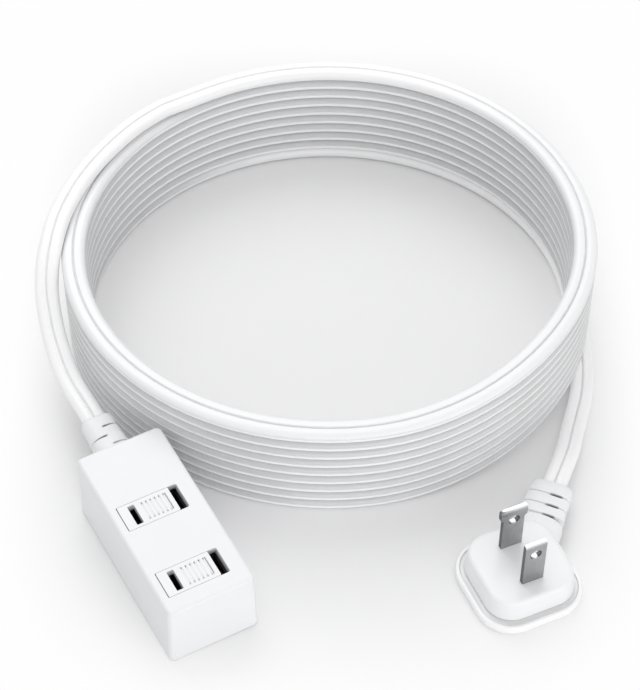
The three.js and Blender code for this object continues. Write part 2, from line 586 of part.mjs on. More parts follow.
// The tap's strain relief: a flange inside the wall, a waist through it, and a slit sleeve outside.
function tapStrainRelief() {
  const face = TAP_LENGTH / 2;
  const section = (at, { width, height }, corner) => ({
    at, width, bottom: BOOT_AXIS_HEIGHT - height / 2, top: BOOT_AXIS_HEIGHT + height / 2, corner,
  });
  const flangeEnd = INNER_HALF_Y - SEAT_GAP;
  const flangeStart = flangeEnd - BOOT_FLANGE.thickness;
  const rootAt = face + SEAT_GAP;
  const tipAt = face + BOOT_REACH;
  let boot = loftAlongY([section(flangeStart, BOOT_FLANGE, 1), section(flangeEnd, BOOT_FLANGE, 1)]);
  const waistEnd = rootAt + CUT_OVER;
  boot = boot.add(loftAlongY([section(flangeEnd - CUT_OVER, BOOT_WAIST, 1.5), section(waistEnd, BOOT_WAIST, 1.5)]));
  const sleeve = loftAlongY([
    section(rootAt, BOOT_ROOT, 3),
    section(tipAt - 4, BOOT_TIP, 2.6),
    section(tipAt - 0.8, BOOT_TIP, 2.6),
    section(tipAt, { width: BOOT_TIP.width - 1.4, height: BOOT_TIP.height - 1.4 }, 2),
  ], 5);
  boot = boot.add(sleeve);
  const core = loftAlongY([section(rootAt, BOOT_CORE, 2.2), section(tipAt, BOOT_CORE, 2.2)]);
  for (let slit = 0; slit < BOOT_SLITS; slit += 1) {
    const at = face + BOOT_FIRST_SLIT + slit * BOOT_SLIT_STEP;
    const side = slit % 2 === 0 ? 1 : -1;
    const reach = BOOT_ROOT.width;
    const near = -side * BOOT_SLIT_OVERRUN;
    const from = Math.min(near, side * reach);
    const to = Math.max(near, side * reach);
    const half = BOOT_SLIT_WIDTH / 2;
    const cut = box(from, to, at - half, at + half, 0, TAP_HEIGHT);
    boot = boot.subtract(cut.subtract(core));
  }
  return named('tap_strain_relief', boot, WHITE_PVC);
}

// ---- Cord ----
// The flat hexagonal section of the cord's plain tube, as width and height pairs.
function cordSection() {
  const half = CORD_WIDTH / 2;
  const flat = half - CORD_THICKNESS * (1 - CORD_FACET_LIFT) * 0.7;
  const up = CORD_THICKNESS / 2;
  return [[half, 0], [flat, up], [-flat, up], [-half, 0], [-flat, -up], [flat, -up]];
}

// How far the cord has climbed from one turn to the next, at an angle up from the coil's lower end.
function climb(degrees) {
  const turns = Math.floor(degrees / 360);
  const within = degrees - 360 * turns;
  const share = THREE.MathUtils.clamp((within - CLIMB_START) / (CLIMB_END - CLIMB_START), 0, 1);
  return turns + share * share * (3 - 2 * share);
}

function coilPoint(degrees) {
  const angle = THREE.MathUtils.degToRad(degrees);
  const x = COIL_HALF_LENGTH * Math.cos(angle);
  const y = COIL_HALF_DEPTH * Math.sin(angle);
  return new THREE.Vector3(x, y, FLOOR_CORD_HEIGHT + TURN_PITCH * climb(degrees));
}

// The coil's centre line, from its top end to its lower end, each end straight for one cord width.
function coilLine() {
  const total = COIL_START_ANGLE + 360 * WHOLE_TURNS;
  const steps = Math.round((total / 360) * STEPS_PER_TURN);
  const points = [];
  for (let step = 0; step <= steps; step += 1) {
    points.push(coilPoint(total - (360 * step) / STEPS_PER_TURN));
  }
  const endTangent = (at, towards) => {
    const tangent = new THREE.Vector3(-COIL_HALF_LENGTH * Math.sin(at), COIL_HALF_DEPTH * Math.cos(at), 0);
    return tangent.normalize().multiplyScalar(towards * CORD_WIDTH);
  };
  const topEnd = points[0].clone().add(endTangent(THREE.MathUtils.degToRad(COIL_START_ANGLE), 1));
  const lowEnd = points[points.length - 1].clone().add(endTangent(0, -1));
  return [topEnd, ...points, lowEnd];
}

// The section carried along a line, its width kept level: one ring of points for each point of the line.
function levelRings(line, section) {
  return line.map((point, i) => {
    const before = line[Math.max(i - 1, 0)];
    const after = line[Math.min(i + 1, line.length - 1)];
    const tangent = after.clone().sub(before).normalize();
    const across = new THREE.Vector3(-tangent.y, tangent.x, 0).normalize();
    const upward = new THREE.Vector3().crossVectors(tangent, across);
    return section.map(([wide, high]) => point.clone().addScaledVector(across, wide).addScaledVector(upward, high));
  });
}

// The least distance between points of the tube that lie more than half a turn apart.
function leastGap(rings) {
  let least = Infinity;
  const apart = STEPS_PER_TURN / 2;
  rings.forEach((ring, i) => {
    const last = Math.min(rings.length, i + 2 * STEPS_PER_TURN);
    for (let j = i + apart; j < last; j += 1) {
      ring.forEach((point) => rings[j].forEach((other) => {
        least = Math.min(least, point.distanceTo(other));
      }));
    }
  });
  return least;
}

function cordCoil() {
  const rings = levelRings(coilLine(), cordSection());
  console.log(`cord_coil: least gap between turns ${leastGap(rings).toFixed(2)} mm`);
  return named('cord_coil', skin(rings), WHITE_PVC);
}

// A plain tube along a chosen route; X of the shape is the cord's thickness, Y its width.
function cordLead(name, route, steps) {
  const path = new THREE.CatmullRomCurve3(route.map((point) => new THREE.Vector3(...point)), false, 'centripetal');
  const half = CORD_WIDTH / 2;
  const up = CORD_THICKNESS / 2;
  const round = up * 0.6;
  const outline = [
    [up, half - 2 * round], [up - round / 2, half - round / 2], [0, half], [round / 2 - up, half - round / 2],
    [-up, half - 2 * round], [-up, 2 * round - half], [round / 2 - up, round / 2 - half], [0, -half],
    [up - round / 2, round / 2 - half], [up, 2 * round - half],
  ];
  const shape = new THREE.Shape(outline.map(([x, y]) => new THREE.Vector2(x, y)));
  const geometry = new THREE.ExtrudeGeometry(shape, { steps, extrudePath: path, bevelEnabled: false });
  return named(name, toSolid(geometry), WHITE_PVC);
}

// ---- Plug ----
function plugCover() {
  const outline = { halfX: COVER_HALF, halfY: COVER_HALF, corner: COVER_CORNER };
  const foot = edgeLevels(outline, 0, COVER_ROUND, false);
  const lip = edgeLevels(outline, COVER_THICKNESS, COVER_ROUND / 2, true, 2);
  const channel = [
    [LEDGE_WIDTH - CHANNEL_WIDTH, 0], [LEDGE_WIDTH - CHANNEL_WIDTH, CHANNEL_DEPTH],
    [LEDGE_WIDTH, CHANNEL_DEPTH], [LEDGE_WIDTH + SEAT_GAP, 0],
  ].map(([inset, depth]) => ({
    z: COVER_THICKNESS - depth, halfX: COVER_HALF - inset, halfY: COVER_HALF - inset, corner: COVER_CORNER - inset,
  }));
  return named('plug_cover', stack([...foot, ...lip, ...channel], 8), WHITE_SHELL);
}

// How far a ray from the middle at this angle runs inside a square with round corners.
function squareReach(half, corner, angle) {
  const across = Math.abs(Math.cos(angle));
  const along = Math.abs(Math.sin(angle));
  const flat = half / Math.max(across, along);
  const centre = half - corner;
  if (Math.min(across, along) * flat <= centre) {
    return flat;
  }
  const towards = centre * (across + along);
  return towards + Math.sqrt(towards * towards - 2 * centre * centre + corner * corner);
}

// How far a ray at this angle off the diagonal runs inside the neck's outline, its end corners eased.
function neckReach(half, reach, angle) {
  if (Math.cos(angle) < 0.3) {
    return 0;
  }
  const side = half / Math.max(Math.abs(Math.sin(angle)), 1e-6);
  const front = reach / Math.cos(angle);
  return (side ** -NECK_EASE + front ** -NECK_EASE) ** (-1 / NECK_EASE);
}

// The body's outline at one height: the larger of wall and neck, eased into each other by a fillet.
function bodyRing({ z, inset, neckHalf }) {
  const ring = [];
  for (let step = 0; step < BODY_RING_STEPS; step += 1) {
    const angle = (step / BODY_RING_STEPS) * 2 * Math.PI;
    const wall = squareReach(BODY_HALF - inset, BODY_CORNER - Math.min(inset, BODY_CORNER / 2), angle);
    let reach = wall;
    if (neckHalf > 0) {
      const neck = neckReach(neckHalf, NECK_END.at, angle - DIAGONAL);
      const larger = Math.max(wall, neck);
      reach = larger + Math.log1p(Math.exp((Math.min(wall, neck) - larger) / NECK_FILLET)) * NECK_FILLET;
    }
    ring.push(new THREE.Vector3(reach * Math.cos(angle), reach * Math.sin(angle), z));
  }
  return ring;
}

// The body's outer skin: a drafted wall with a soft upper edge, and the neck.
function plugShell() {
  const neckAt = (z) => {
    const rise = THREE.MathUtils.clamp((z - BODY_BOTTOM) / (NECK_END.top - BODY_BOTTOM), 0, 1);
    return (NECK_ROOT_WIDTH / 2) * Math.sqrt(1 - rise ** NECK_CROWN);
  };
  const wallLevels = [0, 0.35, 0.6, 0.8, 0.93, 1].map((share) => {
    const z = THREE.MathUtils.lerp(BODY_BOTTOM, PLUG_HEIGHT - BODY_ROUND, share);
    return { z, inset: share * BODY_DRAFT };
  });
  const flat = { halfX: BODY_HALF, halfY: BODY_HALF, corner: BODY_CORNER };
  const crown = edgeLevels(flat, PLUG_HEIGHT, BODY_ROUND, true, 6).slice(1).map(({ z, halfX }) => (
    { z, inset: BODY_DRAFT + BODY_HALF - halfX }));
  const levels = [...wallLevels, ...crown].map(({ z, inset }) => ({ z, inset, neckHalf: neckAt(z) }));
  return toSolid(skin(levels.map(bodyRing)));
}

// A section on the plug's diagonal, as loftAlongY takes it.
function diagonalSection({ at, width, bottom, top }, corner, grow = 0) {
  return { at, width: width + 2 * grow, bottom: bottom - grow, top: top + grow, corner };
}

// Turns a solid made along +Y onto the plug's diagonal.
function onDiagonal(solid) {
  return solid.rotate([0, 0, -THREE.MathUtils.radToDeg(DIAGONAL)]);
}

// The tail of the sleeve, held between body and cover.
function sleeveTail(to) {
  return loftAlongY([diagonalSection(SLEEVE_TAIL, 1.5), diagonalSection({ ...SLEEVE_TAIL, at: to }, 1.5)]);
}

// The channel in the body for that tail, open below so that the tail is laid in from there.
function tailChannel() {
  const open = { ...SLEEVE_TAIL, bottom: 0 };
  return loftAlongY([
    diagonalSection({ ...open, at: SLEEVE_TAIL.at - TAIL_ROOM }, 1.5, SEAT_GAP),
    diagonalSection({ ...open, at: NECK_END.at + CUT_OVER }, 1.5, SEAT_GAP),
  ]);
}

function bladeYs() {
  return [BLADE_PITCH / 2, -BLADE_PITCH / 2];
}

function bladeHole(y, gap, z0, z1) {
  const halfX = BLADE_WIDTH / 2 + gap;
  const halfY = BLADE_THICKNESS / 2 + gap;
  return box(-halfX, halfX, y - halfY, y + halfY, z0, z1);
}

function plugBody() {
  let body = plugShell();
  body = body.subtract(prism(POCKET_HALF, POCKET_HALF, POCKET_CORNER, BODY_BOTTOM - CUT_OVER, POCKET_TOP, 6));
  body = body.subtract(onDiagonal(tailChannel()));
  bladeYs().forEach((y) => {
    body = body.subtract(bladeHole(y, BLADE_GAP, POCKET_TOP - CUT_OVER, PLUG_HEIGHT + CUT_OVER));
  });
  return named('plug_body', body, WHITE_SHELL);
}

// The hard inner block that holds both blades square to the face.
function plugBridge() {
  const halfX = BRIDGE_HALF_WIDTH;
  const halfY = BRIDGE_HALF_LENGTH;
  const bottom = BRIDGE_TOP - BRIDGE_THICKNESS;
  let bridge = prismBetween(-halfX, halfX, -halfY, halfY, 2.2, bottom, BRIDGE_TOP);
  bladeYs().forEach((bladeY) => {
    bridge = bridge.subtract(bladeHole(bladeY, SEAT_GAP, bottom - CUT_OVER, BRIDGE_TOP + CUT_OVER));
  });
  return named('plug_bridge', bridge, INNER_PLASTIC);
}

// A blade: its outline with the hole, cut to the thickness profile that tapers at the tip.
function blade(name, y, tipExtra) {
  const half = BLADE_WIDTH / 2;
  const tip = PLUG_HEIGHT + BLADE_LENGTH;
  const step = tip - WIDE_TIP_LENGTH;
  const wide = half + tipExtra;
  const neck = tipExtra > 0 ? [[half, step - tipExtra], [wide, step]] : [];
  const rightSide = [[half, BLADE_FOOT_HEIGHT], ...neck, [wide, tip - BLADE_CORNER], [wide - BLADE_CORNER, tip]];
  const leftSide = rightSide.map(([x, z]) => [-x, z]).reverse();
  const outline = [...rightSide, ...leftSide];
  const shape = new THREE.Shape(outline.map(([x, z]) => new THREE.Vector2(x, z)));
  const hole = new THREE.Path();
  hole.absarc(0, PLUG_HEIGHT + BLADE_HOLE_HEIGHT, BLADE_HOLE_RADIUS, 0, 2 * Math.PI, true);
  shape.holes.push(hole);
  const plate = extrudeY(shape, -BLADE_THICKNESS / 2, BLADE_THICKNESS / 2);
  const thick = BLADE_THICKNESS / 2;
  const thin = BLADE_TIP_FLAT / 2;
  const profile = new THREE.Shape([
    [-thick, BLADE_FOOT_HEIGHT - CUT_OVER], [thick, BLADE_FOOT_HEIGHT - CUT_OVER], [thick, tip - BLADE_TIP_CHAMFER],
    [thin, tip], [-thin, tip], [-thick, tip - BLADE_TIP_CHAMFER],
  ].map(([across, z]) => new THREE.Vector2(across, z)));
  const reach = BLADE_WIDTH;
  const taper = extrudeY(profile, -reach, reach).rotate([0, 0, 90]);
  const barrel = crimpBarrel(CRIMP_LENGTH / 2 + BAR_METAL).rotate([0, 0, -90]);
  const joined = plate.intersect(taper).add(barrel.translate([half - BAR_METAL, 0, BLADE_CORE_HEIGHT]));
  const mesh = named(name, joined, NICKEL);
  mesh.position.set(0, y, 0);
  return mesh;
}

// The plug's strain relief: a tail held in the body, and a slit sleeve that narrows to the cord.
function plugStrainRelief() {
  const root = { ...NECK_END, at: NECK_END.at + SEAT_GAP };
  let sleeve = loftAlongY([
    diagonalSection(root, 2.3),
    diagonalSection(SLEEVE_SHOULDER, 2.3),
    diagonalSection({ ...SLEEVE_SHOULDER, at: SLEEVE_SHOULDER.at + 0.8, width: SLEEVE_SHOULDER.width - 0.8 }, 2.3),
    diagonalSection(SLEEVE_TIP, 2),
  ], 5);
  SLEEVE_SLITS.forEach((at) => {
    const half = SLEEVE_SLIT_WIDTH / 2;
    const across = (NECK_END.width + SLEEVE_SHOULDER.width) / 4 - SLEEVE_SLIT_DEPTH;
    const share = (at - root.at) / (SLEEVE_SHOULDER.at - root.at);
    const bottom = THREE.MathUtils.lerp(root.bottom, SLEEVE_SHOULDER.bottom, share) + SLEEVE_SLIT_DEPTH;
    const top = THREE.MathUtils.lerp(root.top, SLEEVE_SHOULDER.top, share) - SLEEVE_SLIT_DEPTH;
    const reach = NECK_END.width;
    const block = box(-reach, reach, at - half, at + half, 0, PLUG_HEIGHT);
    const kept = { width: 2 * across, bottom, top };
    const core = loftAlongY([
      diagonalSection({ at: at - CUT_OVER, ...kept }, 2), diagonalSection({ at: at + CUT_OVER, ...kept }, 2),
    ]);
    sleeve = sleeve.subtract(block.subtract(core));
    const notch = SLEEVE_NOTCH_WIDTH / 2;
    const floor = top + SLEEVE_SLIT_DEPTH - SLEEVE_NOTCH_DEPTH;
    sleeve = sleeve.subtract(box(-notch, notch, at - half, at + half, floor, PLUG_HEIGHT));
  });
  sleeve = sleeve.add(sleeveTail(root.at + CUT_OVER));
  return named('plug_strain_relief', onDiagonal(sleeve), WHITE_PVC);
}

// One half of the split cord in the plug, from the sleeve's tail into the crimp at a blade's foot.
// The way between is chosen so that no bend is tighter than the core allows.
function plugCore(name, side, bladeY, way) {
  const start = (SLEEVE_TAIL.at - SEAT_GAP) * Math.SQRT1_2;
  const spread = side * CORE_OFFSET * Math.SQRT1_2;
  const x = start - spread;
  const y = start + spread;
  const high = (SLEEVE_TAIL.bottom + SLEEVE_TAIL.top) / 2;
  const stop = BLADE_WIDTH / 2 + SEAT_GAP;
  const mouth = stop + CRIMP_LENGTH / 2;
  const turn = CORE_BEND_RADIUS;
  const intoCrimp = [72, 48, 24, 0].map((degrees) => {
    const angle = THREE.MathUtils.degToRad(degrees);
    const across = turn * Math.sin(angle);
    const aside = turn * (1 - Math.cos(angle));
    return [mouth + SEAT_GAP + across, bladeY + aside, BLADE_CORE_HEIGHT];
  });
  const core = wire([
    [x, y, high],
    [x - SEAT_GAP, y - SEAT_GAP, high],
    ...way,
    ...intoCrimp,
    [stop, bladeY, BLADE_CORE_HEIGHT],
  ], CORE_RADIUS, 22);
  return named(name, core, WHITE_PVC);
}

// ---- Assembly ----
function makeTap() {
  const tap = new THREE.Group();
  tap.add(tapHousing(), tapBase(), contactCarrier(), tapStrainRelief());
  OUTLET_YS.forEach((y, outlet) => tap.add(shutter(`shutter_${outlet + 1}`, y)));
  POST_YS.forEach((y, screw) => tap.add(baseScrew(`base_screw_${screw + 1}`, y)));
  tap.add(contactBar('contact_bar_line', -SLOT_X), contactBar('contact_bar_neutral', SLOT_X));
  tap.add(tapCore('tap_core_line', -1), tapCore('tap_core_neutral', 1));
  return tap;
}

function makePlug() {
  const plug = new THREE.Group();
  const [farY, nearY] = bladeYs();
  plug.add(plugCover(), plugBody(), plugBridge(), plugStrainRelief());
  plug.add(blade('blade_neutral', farY, WIDE_TIP_EXTRA), blade('blade_line', nearY, 0));
  plug.add(plugCore('plug_core_neutral', 1, farY, NEUTRAL_CORE_WAY));
  plug.add(plugCore('plug_core_line', -1, nearY, LINE_CORE_WAY));
  plug.position.set(...PLUG_CENTRE, 0);
  plug.rotation.z = THREE.MathUtils.degToRad(PLUG_TURNED);
  return plug;
}

function makeLaidCord() {
  const laid = new THREE.Group();
  laid.add(cordCoil());
  laid.add(cordLead('cord_to_tap', TAP_LEAD_ROUTE, TAP_LEAD_STEPS));
  laid.add(cordLead('cord_to_plug', PLUG_LEAD_ROUTE, PLUG_LEAD_STEPS));
  laid.add(makePlug());
  laid.position.set(...COIL_CENTRE, 0);
  laid.rotation.z = THREE.MathUtils.degToRad(COIL_TURNED);
  return laid;
}

const group = new THREE.Group();
group.add(makeTap(), makeLaidCord());

export default group;
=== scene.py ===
"""Dresses the two-outlet extension cord: flat twin cord, shuttered outlet tap, flat plug and the stage."""
import math

import bmesh
import bpy
import numpy as np
from mathutils import Matrix, Vector


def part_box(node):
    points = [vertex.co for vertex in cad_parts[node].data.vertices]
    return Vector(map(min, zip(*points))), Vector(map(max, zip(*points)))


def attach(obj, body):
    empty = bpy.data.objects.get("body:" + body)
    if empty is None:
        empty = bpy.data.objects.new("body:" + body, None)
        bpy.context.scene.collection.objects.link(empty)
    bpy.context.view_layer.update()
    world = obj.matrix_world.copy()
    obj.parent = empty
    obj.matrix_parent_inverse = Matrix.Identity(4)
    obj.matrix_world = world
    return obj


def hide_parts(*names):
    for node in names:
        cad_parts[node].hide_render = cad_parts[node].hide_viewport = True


bl_info = {
    "name": "Extension Cord",
    "version": (1, 0, 0),
    "blender": (4, 5, 0),
    "location": "3D View > Sidebar > Extension Cord",
    "description": "Makes a coiled two-outlet extension cord with sliding shutters and a flat plug",
    "category": "Add Mesh",
}

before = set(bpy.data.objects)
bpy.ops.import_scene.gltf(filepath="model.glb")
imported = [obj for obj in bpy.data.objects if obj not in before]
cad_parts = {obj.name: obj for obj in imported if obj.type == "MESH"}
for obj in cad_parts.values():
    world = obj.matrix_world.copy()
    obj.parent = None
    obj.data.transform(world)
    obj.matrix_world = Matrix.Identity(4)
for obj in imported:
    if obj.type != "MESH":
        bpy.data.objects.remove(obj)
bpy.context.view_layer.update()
BODY = "cord_set"
MM = 0.001
OVER = 1.0  # how far a cutter runs past what it opens, in mm
NEAR = 0.02  # how far off a face a point of its rounded edge may lie, in mm

# The tap, in millimetres in the tap's own frame, which is the row frame.
TAP_DRAFT, TAP_CORNER, TAP_ROUND = 0.5, 1.7, 1.0
TAP_HALF_X, TAP_HALF_Y, TAP_HEIGHT = np.array(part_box("tap_housing")[1]) / MM - (TAP_DRAFT, 0.0, 0.0)
SIDE_WALL, FACE_WALL = 1.8, 2.0
FACE_UNDERSIDE = TAP_HEIGHT - FACE_WALL
OUTLET_YS = (4.4, -20.0)
WINDOW = (-10.3, 7.5, 8.8)  # from, to along X; width along Y
WINDOW_SLOPE = 0.35  # how far the wall past the shutter leans back
NOTCH_HALF, NOTCH_TOP = 4.8, 17.0  # the opening for the strain relief
SHUTTER_END = 5.2
SHUTTER_SLOT = (-6.35, 2.0, 6.8)  # centre, width along X, length along Y
SLIDE_GAP, SIDE_GAP = 0.25, 0.13  # before and over the shutter's flange, and beside its raised part
FLANGE, FLANGE_LIP = 1.1, 1.2
GRIP = (7.9, 6.3, 0.8, 1.3)  # length, width, depth and the pitch of its grooves
BOOT_HEIGHT, BOOT_REACH = 13.0, 16.3
# Places of the slits along the relief, and how much painted shade each slit gets.
BOOT_SLITS, BOOT_SLIT_SHADES = (3.6, 7.4, 11.2), (0.4, 0.9, 0.9)
BOOT_SLIT_REACH = 0.6  # from each slit's middle, with fine rings

# The laid cord and the plug, each in a frame of its own that is turned and moved onto the row frame.
LAID_TURN, LAID_PLACE = math.radians(-28.5), (84.0, 60.9)
PLUG_TURN, PLUG_PLACE = math.radians(23.7), (52.0, -99.7)
TURN_PITCH, TURNS_END, TURNS_START = 3.68, 0.0, 3360.0
COIL_HALF_AXES = (75.3, 71.7)
CLIMB = (280.0, 332.0)
GROOVE = (0.38, 0.95)  # the cord's groove: half its width, and its depth
TAP_LEAD = (
    (-66.23, -54.06, 13), (-70.1, -46.94, 13), (-72.9, -42.3, 13.5), (-75.2, -38.3, 14.5), (-77.1, -34.3, 16),
    (-78.6, -30.5, 17.9), (-80, -26.7, 20.2), (-81, -23, 22.7), (-81.8, -19.4, 25.2), (-82.3, -15.7, 27.6),
    (-82.4, -11.8, 29.8), (-82.2, -7.6, 31.8), (-81.6, -3, 33.4), (-80.8, 2.2, 34.6), (-79.6, 8.2, 34.96),
    (-78, 14, 34.96), (-76.1, 19.6, 34.96), (-73.8, 25, 34.96), (-71.2, 30, 34.96), (-68.3, 34.9, 34.96),
    (-65.2, 39.6, 34.96), (-61.8, 44.1, 34.96), (-58.2, 48.2, 34.96), (-54.2, 51.9, 34.96),
    (-50.17, 55.2, 34.96), (-44.04, 58.57, 34.96),
)
PLUG_LEAD = (
    (75.3, -7.3, 1.84), (75.4, -14.3, 1.84), (75.7, -22, 1.84), (75.1, -30, 1.84), (73.8, -37, 1.85),
    (72.1, -43.3, 2), (70.4, -49.6, 2.7), (68.9, -55.6, 3.7), (67.6, -59.6, 4.3), (66.06, -63.64, 4.58),
    (63.26, -70.82, 4.6),
)
COVER_HALF, COVER_CORNER, COVER_THICKNESS = 15.5, 10.0, 2.9
CHANNEL_WIDTH, CHANNEL_DEPTH = 1.1, 0.4  # round the cover's ledge, beside the body
BODY_HALF, BODY_CORNER = COVER_HALF - 2.25, COVER_CORNER - 2.25
PLUG_HEIGHT, BODY_BOTTOM, BODY_DRAFT, BODY_ROUND = 10.1, 3.2, 0.6, 1.4
POCKET_HALF, POCKET_CORNER, PLUG_FACE_WALL = 11.6, 6.1, 1.6
BLADE_YS = (6.35, -6.35)  # the far, wide blade and the near one
BLADE_FOOT, BLADE_WIDTH, BLADE_THICKNESS = 3.325, 6.35, 1.5
BLADE_TIP, BLADE_HOLE_Z, BLADE_HOLE_RADIUS = PLUG_HEIGHT + 16.5, PLUG_HEIGHT + 11.9, 1.7  # heights
BLADE_BEVEL, BLADE_THINNED = 1.1, 0.42  # length of the tip's bevels, and how far in each reaches
BLADE_SLIT = (3.2, 0.78)  # half the length and width of its slit in the plug's face
WIDE_TIP = (0.8, 3.6)  # how far the wide blade's tip stands out on each side, and how far down it runs
NECK_END, NECK_TOP, NECK_ROOT, NECK_FILLET = 18.5, 8.3, 14.2, 0.8
NECK_EASE, NECK_AHEAD = 18.0, 0.3  # power that rounds its end, and least cosine off its diagonal
SLEEVE_TIP, SLEEVE_SLITS = 31.8, (22.7, 26.8)
LEAD_LIGHT, LEAD_FADE = 200.0, 60.0  # length of each lead from its end that gets painted light, and of its fade

# Finishes.
DEPTH_UNIT = 4.0  # mm for each 1 of the "depth" attribute
DARK_FROM, BLACK_FROM = 1.5 / DEPTH_UNIT, 2.4 / DEPTH_UNIT  # where a slot's wall is painted darker with depth, as painted shade
OVERHANG = 5.0  # how near above another turn the cord is painted darker, as painted shade in the crease, in mm
NOISE_LOW, NOISE_HIGH = 0.3, 0.7  # between which nearly all of a noise lies
# White, then the painted light for lit faces, and the painted bounce light on the cord's downward faces.
WHITE, PAINTED_LIGHT, PAINTED_BOUNCE_LIGHT = (1.0, 1.0, 1.0, 1.0), (0.96, 0.96, 0.965), (0.99, 0.99, 1.0)
# Painted shade: for the cord's creases, and for slots, slits, grooves, feet and the blades' narrow sides.
PAINTED_CREASE_SHADE, SHADOW = (0.0, 0.0, 0.0), (0.004, 0.004, 0.004)
CARRIER_BLACK, BRASS, STEEL = (0.02, 0.02, 0.021), (0.62, 0.45, 0.16), (0.42, 0.43, 0.45)

# The stage, in the laid cord's frame.
KEY_PLACE, KEY_SIZE = (-220.0, 690.0, 1000.0), (1.0, 1.0)
FRONT_PLACE, FRONT_SIZE = (350.0, -900.0, 220.0), (1.6, 0.4)
LAMP_AIM, CAMERA_AIM, CAMERA_DOWN = (-10.0, -40.0, 0.0), (-2.6, -12.8, 0.0), 48.8
FLOOR_REACH, FADE_CENTRE, FADE_HALVES = 3000.0, (0.0, -8.0, 0.0), (76.0, 108.0)
FADE_START, FADE_END = 0.74, 1.6  # of the floor's colour to white, in those half lengths


# ---- Places ----
def turned(points, angle, place):
    """Points turned about Z by the angle, then moved by the place."""
    cosine, sine = math.cos(angle), math.sin(angle)
    x, y, z = np.moveaxis(np.asarray(points, float), -1, 0)
    return np.stack([x * cosine - y * sine + place[0], x * sine + y * cosine + place[1], z], -1)


def from_laid(points):
    """Points of the laid cord's frame, in the row frame."""
    return turned(points, LAID_TURN, LAID_PLACE)


def from_plug(points):
    """Points of the plug's frame, in the row frame."""
    return from_laid(turned(points, PLUG_TURN, PLUG_PLACE))


def from_diagonal(points):
    """Points made along +Y, turned onto the plug's diagonal and into the row frame."""
    return from_plug(turned(points, -math.pi / 4, (0.0, 0.0)))


# ---- Surfaces ----
def smoothstep(value):
    """Rises from 0 to 1 as the value does, level at both ends: 3 v^2 - 2 v^3."""
    value = np.clip(value, 0.0, 1.0)
    return value * value * (3.0 - 2.0 * value)


def rounded_rectangle(half_x, half_y, radius, corner_steps):
    """Points round a rectangle, anticlockwise: each corner's centre + radius (cos a, sin a)."""
    angle = (np.arange(4)[:, None] + np.linspace(0.0, 1.0, corner_steps + 1)) * (np.pi / 2)
    side = np.array([[1, 1], [-1, 1], [-1, -1], [1, -1]], float)
    centre = side * [half_x - radius, half_y - radius]
    return (centre[:, None] + radius * np.stack([np.cos(angle), np.sin(angle)], -1)).reshape(-1, 2)


def superellipse(half_x, half_z, power, steps):
    """Points round |x/a|^p + |z/b|^p = 1, as signed powers 2/p of the cosine and sine."""
    angle = np.linspace(0.0, 2 * np.pi, steps, endpoint=False)
    circle = np.stack([np.cos(angle), np.sin(angle)], -1)
    return np.sign(circle) * np.abs(circle) ** (2 / power) * (half_x, half_z)


def edge_round(at, radius, upward, steps):
    """(height, inset) pairs of a quarter-round edge: radius (1 - cos a) inwards at radius sin a along."""
    angle = np.linspace(0.0, np.pi / 2, steps + 1)
    inset, rise = radius * (1 - np.cos(angle)), radius * np.sin(angle)
    if upward:
        return list(zip(at - radius + rise, inset))
    return list(zip(at + radius - rise, inset))[::-1]


def stacked(half_x, half_y, corner, levels, corner_steps=10):
    """Rings of a round-cornered block: at each (height, inset) the outline shrinks evenly by the inset."""
    rings = []
    for height, inset in levels:
        ring = rounded_rectangle(half_x - inset, half_y - inset, max(corner - inset, 0.05), corner_steps)
        rings.append(np.insert(ring, 2, height, axis=1))
    return np.array(rings)


def block(x0, x1, y0, y1, z0, z1, corner=0.3):
    """Rings of an upright round-cornered block between two corners."""
    rings = stacked((x1 - x0) / 2, (y1 - y0) / 2, corner, [(z0, 0.0), (z1, 0.0)], 6)
    return rings + [(x0 + x1) / 2, (y0 + y1) / 2, 0.0]


def along_y(sections):
    """Rings of a loft along +Y: each section is (y, middle height, outline of (x, z) points)."""
    return np.array([
        np.column_stack([-outline[:, 0], np.full(len(outline), y), middle + outline[:, 1]])
        for y, middle, outline in sections
    ])


def carried(path, section):
    """Rings of a section carried along a path with its width level: point + width across + height up."""
    tangent = np.gradient(path, axis=0)
    tangent /= np.linalg.norm(tangent, axis=1, keepdims=True)
    across = np.column_stack([-tangent[:, 1], tangent[:, 0], np.zeros(len(path))])
    across /= np.linalg.norm(across, axis=1, keepdims=True)
    upward = np.cross(tangent, across)
    wide, high = section.T[..., None]
    return path[:, None] + across[:, None] * wide + upward[:, None] * high


def curve_through(points, spacing):
    """Points along a centripetal Catmull-Rom curve through the given ones, about the spacing apart."""
    points = np.asarray(points, float)
    knots = np.concatenate([[2 * points[0] - points[1]], points, [2 * points[-1] - points[-2]]])
    time = np.concatenate([[0.0], np.cumsum(np.sqrt(np.linalg.norm(np.diff(knots, axis=0), axis=1)))])
    pieces = []
    for i in range(1, len(knots) - 2):
        steps = max(2, int(np.linalg.norm(knots[i + 1] - knots[i]) / spacing))
        t = np.linspace(time[i], time[i + 1], steps, endpoint=False)[:, None]
        blend = lambda a, b, ta, tb: ((tb - t) * a + (t - ta) * b) / (tb - ta)
        first = [blend(knots[j], knots[j + 1], time[j], time[j + 1]) for j in (i - 1, i, i + 1)]
        second = [blend(first[j], first[j + 1], time[i - 1 + j], time[i + 1 + j]) for j in (0, 1)]
        pieces.append(blend(second[0], second[1], time[i], time[i + 1]))
    return np.concatenate(pieces + [points[-1:]])


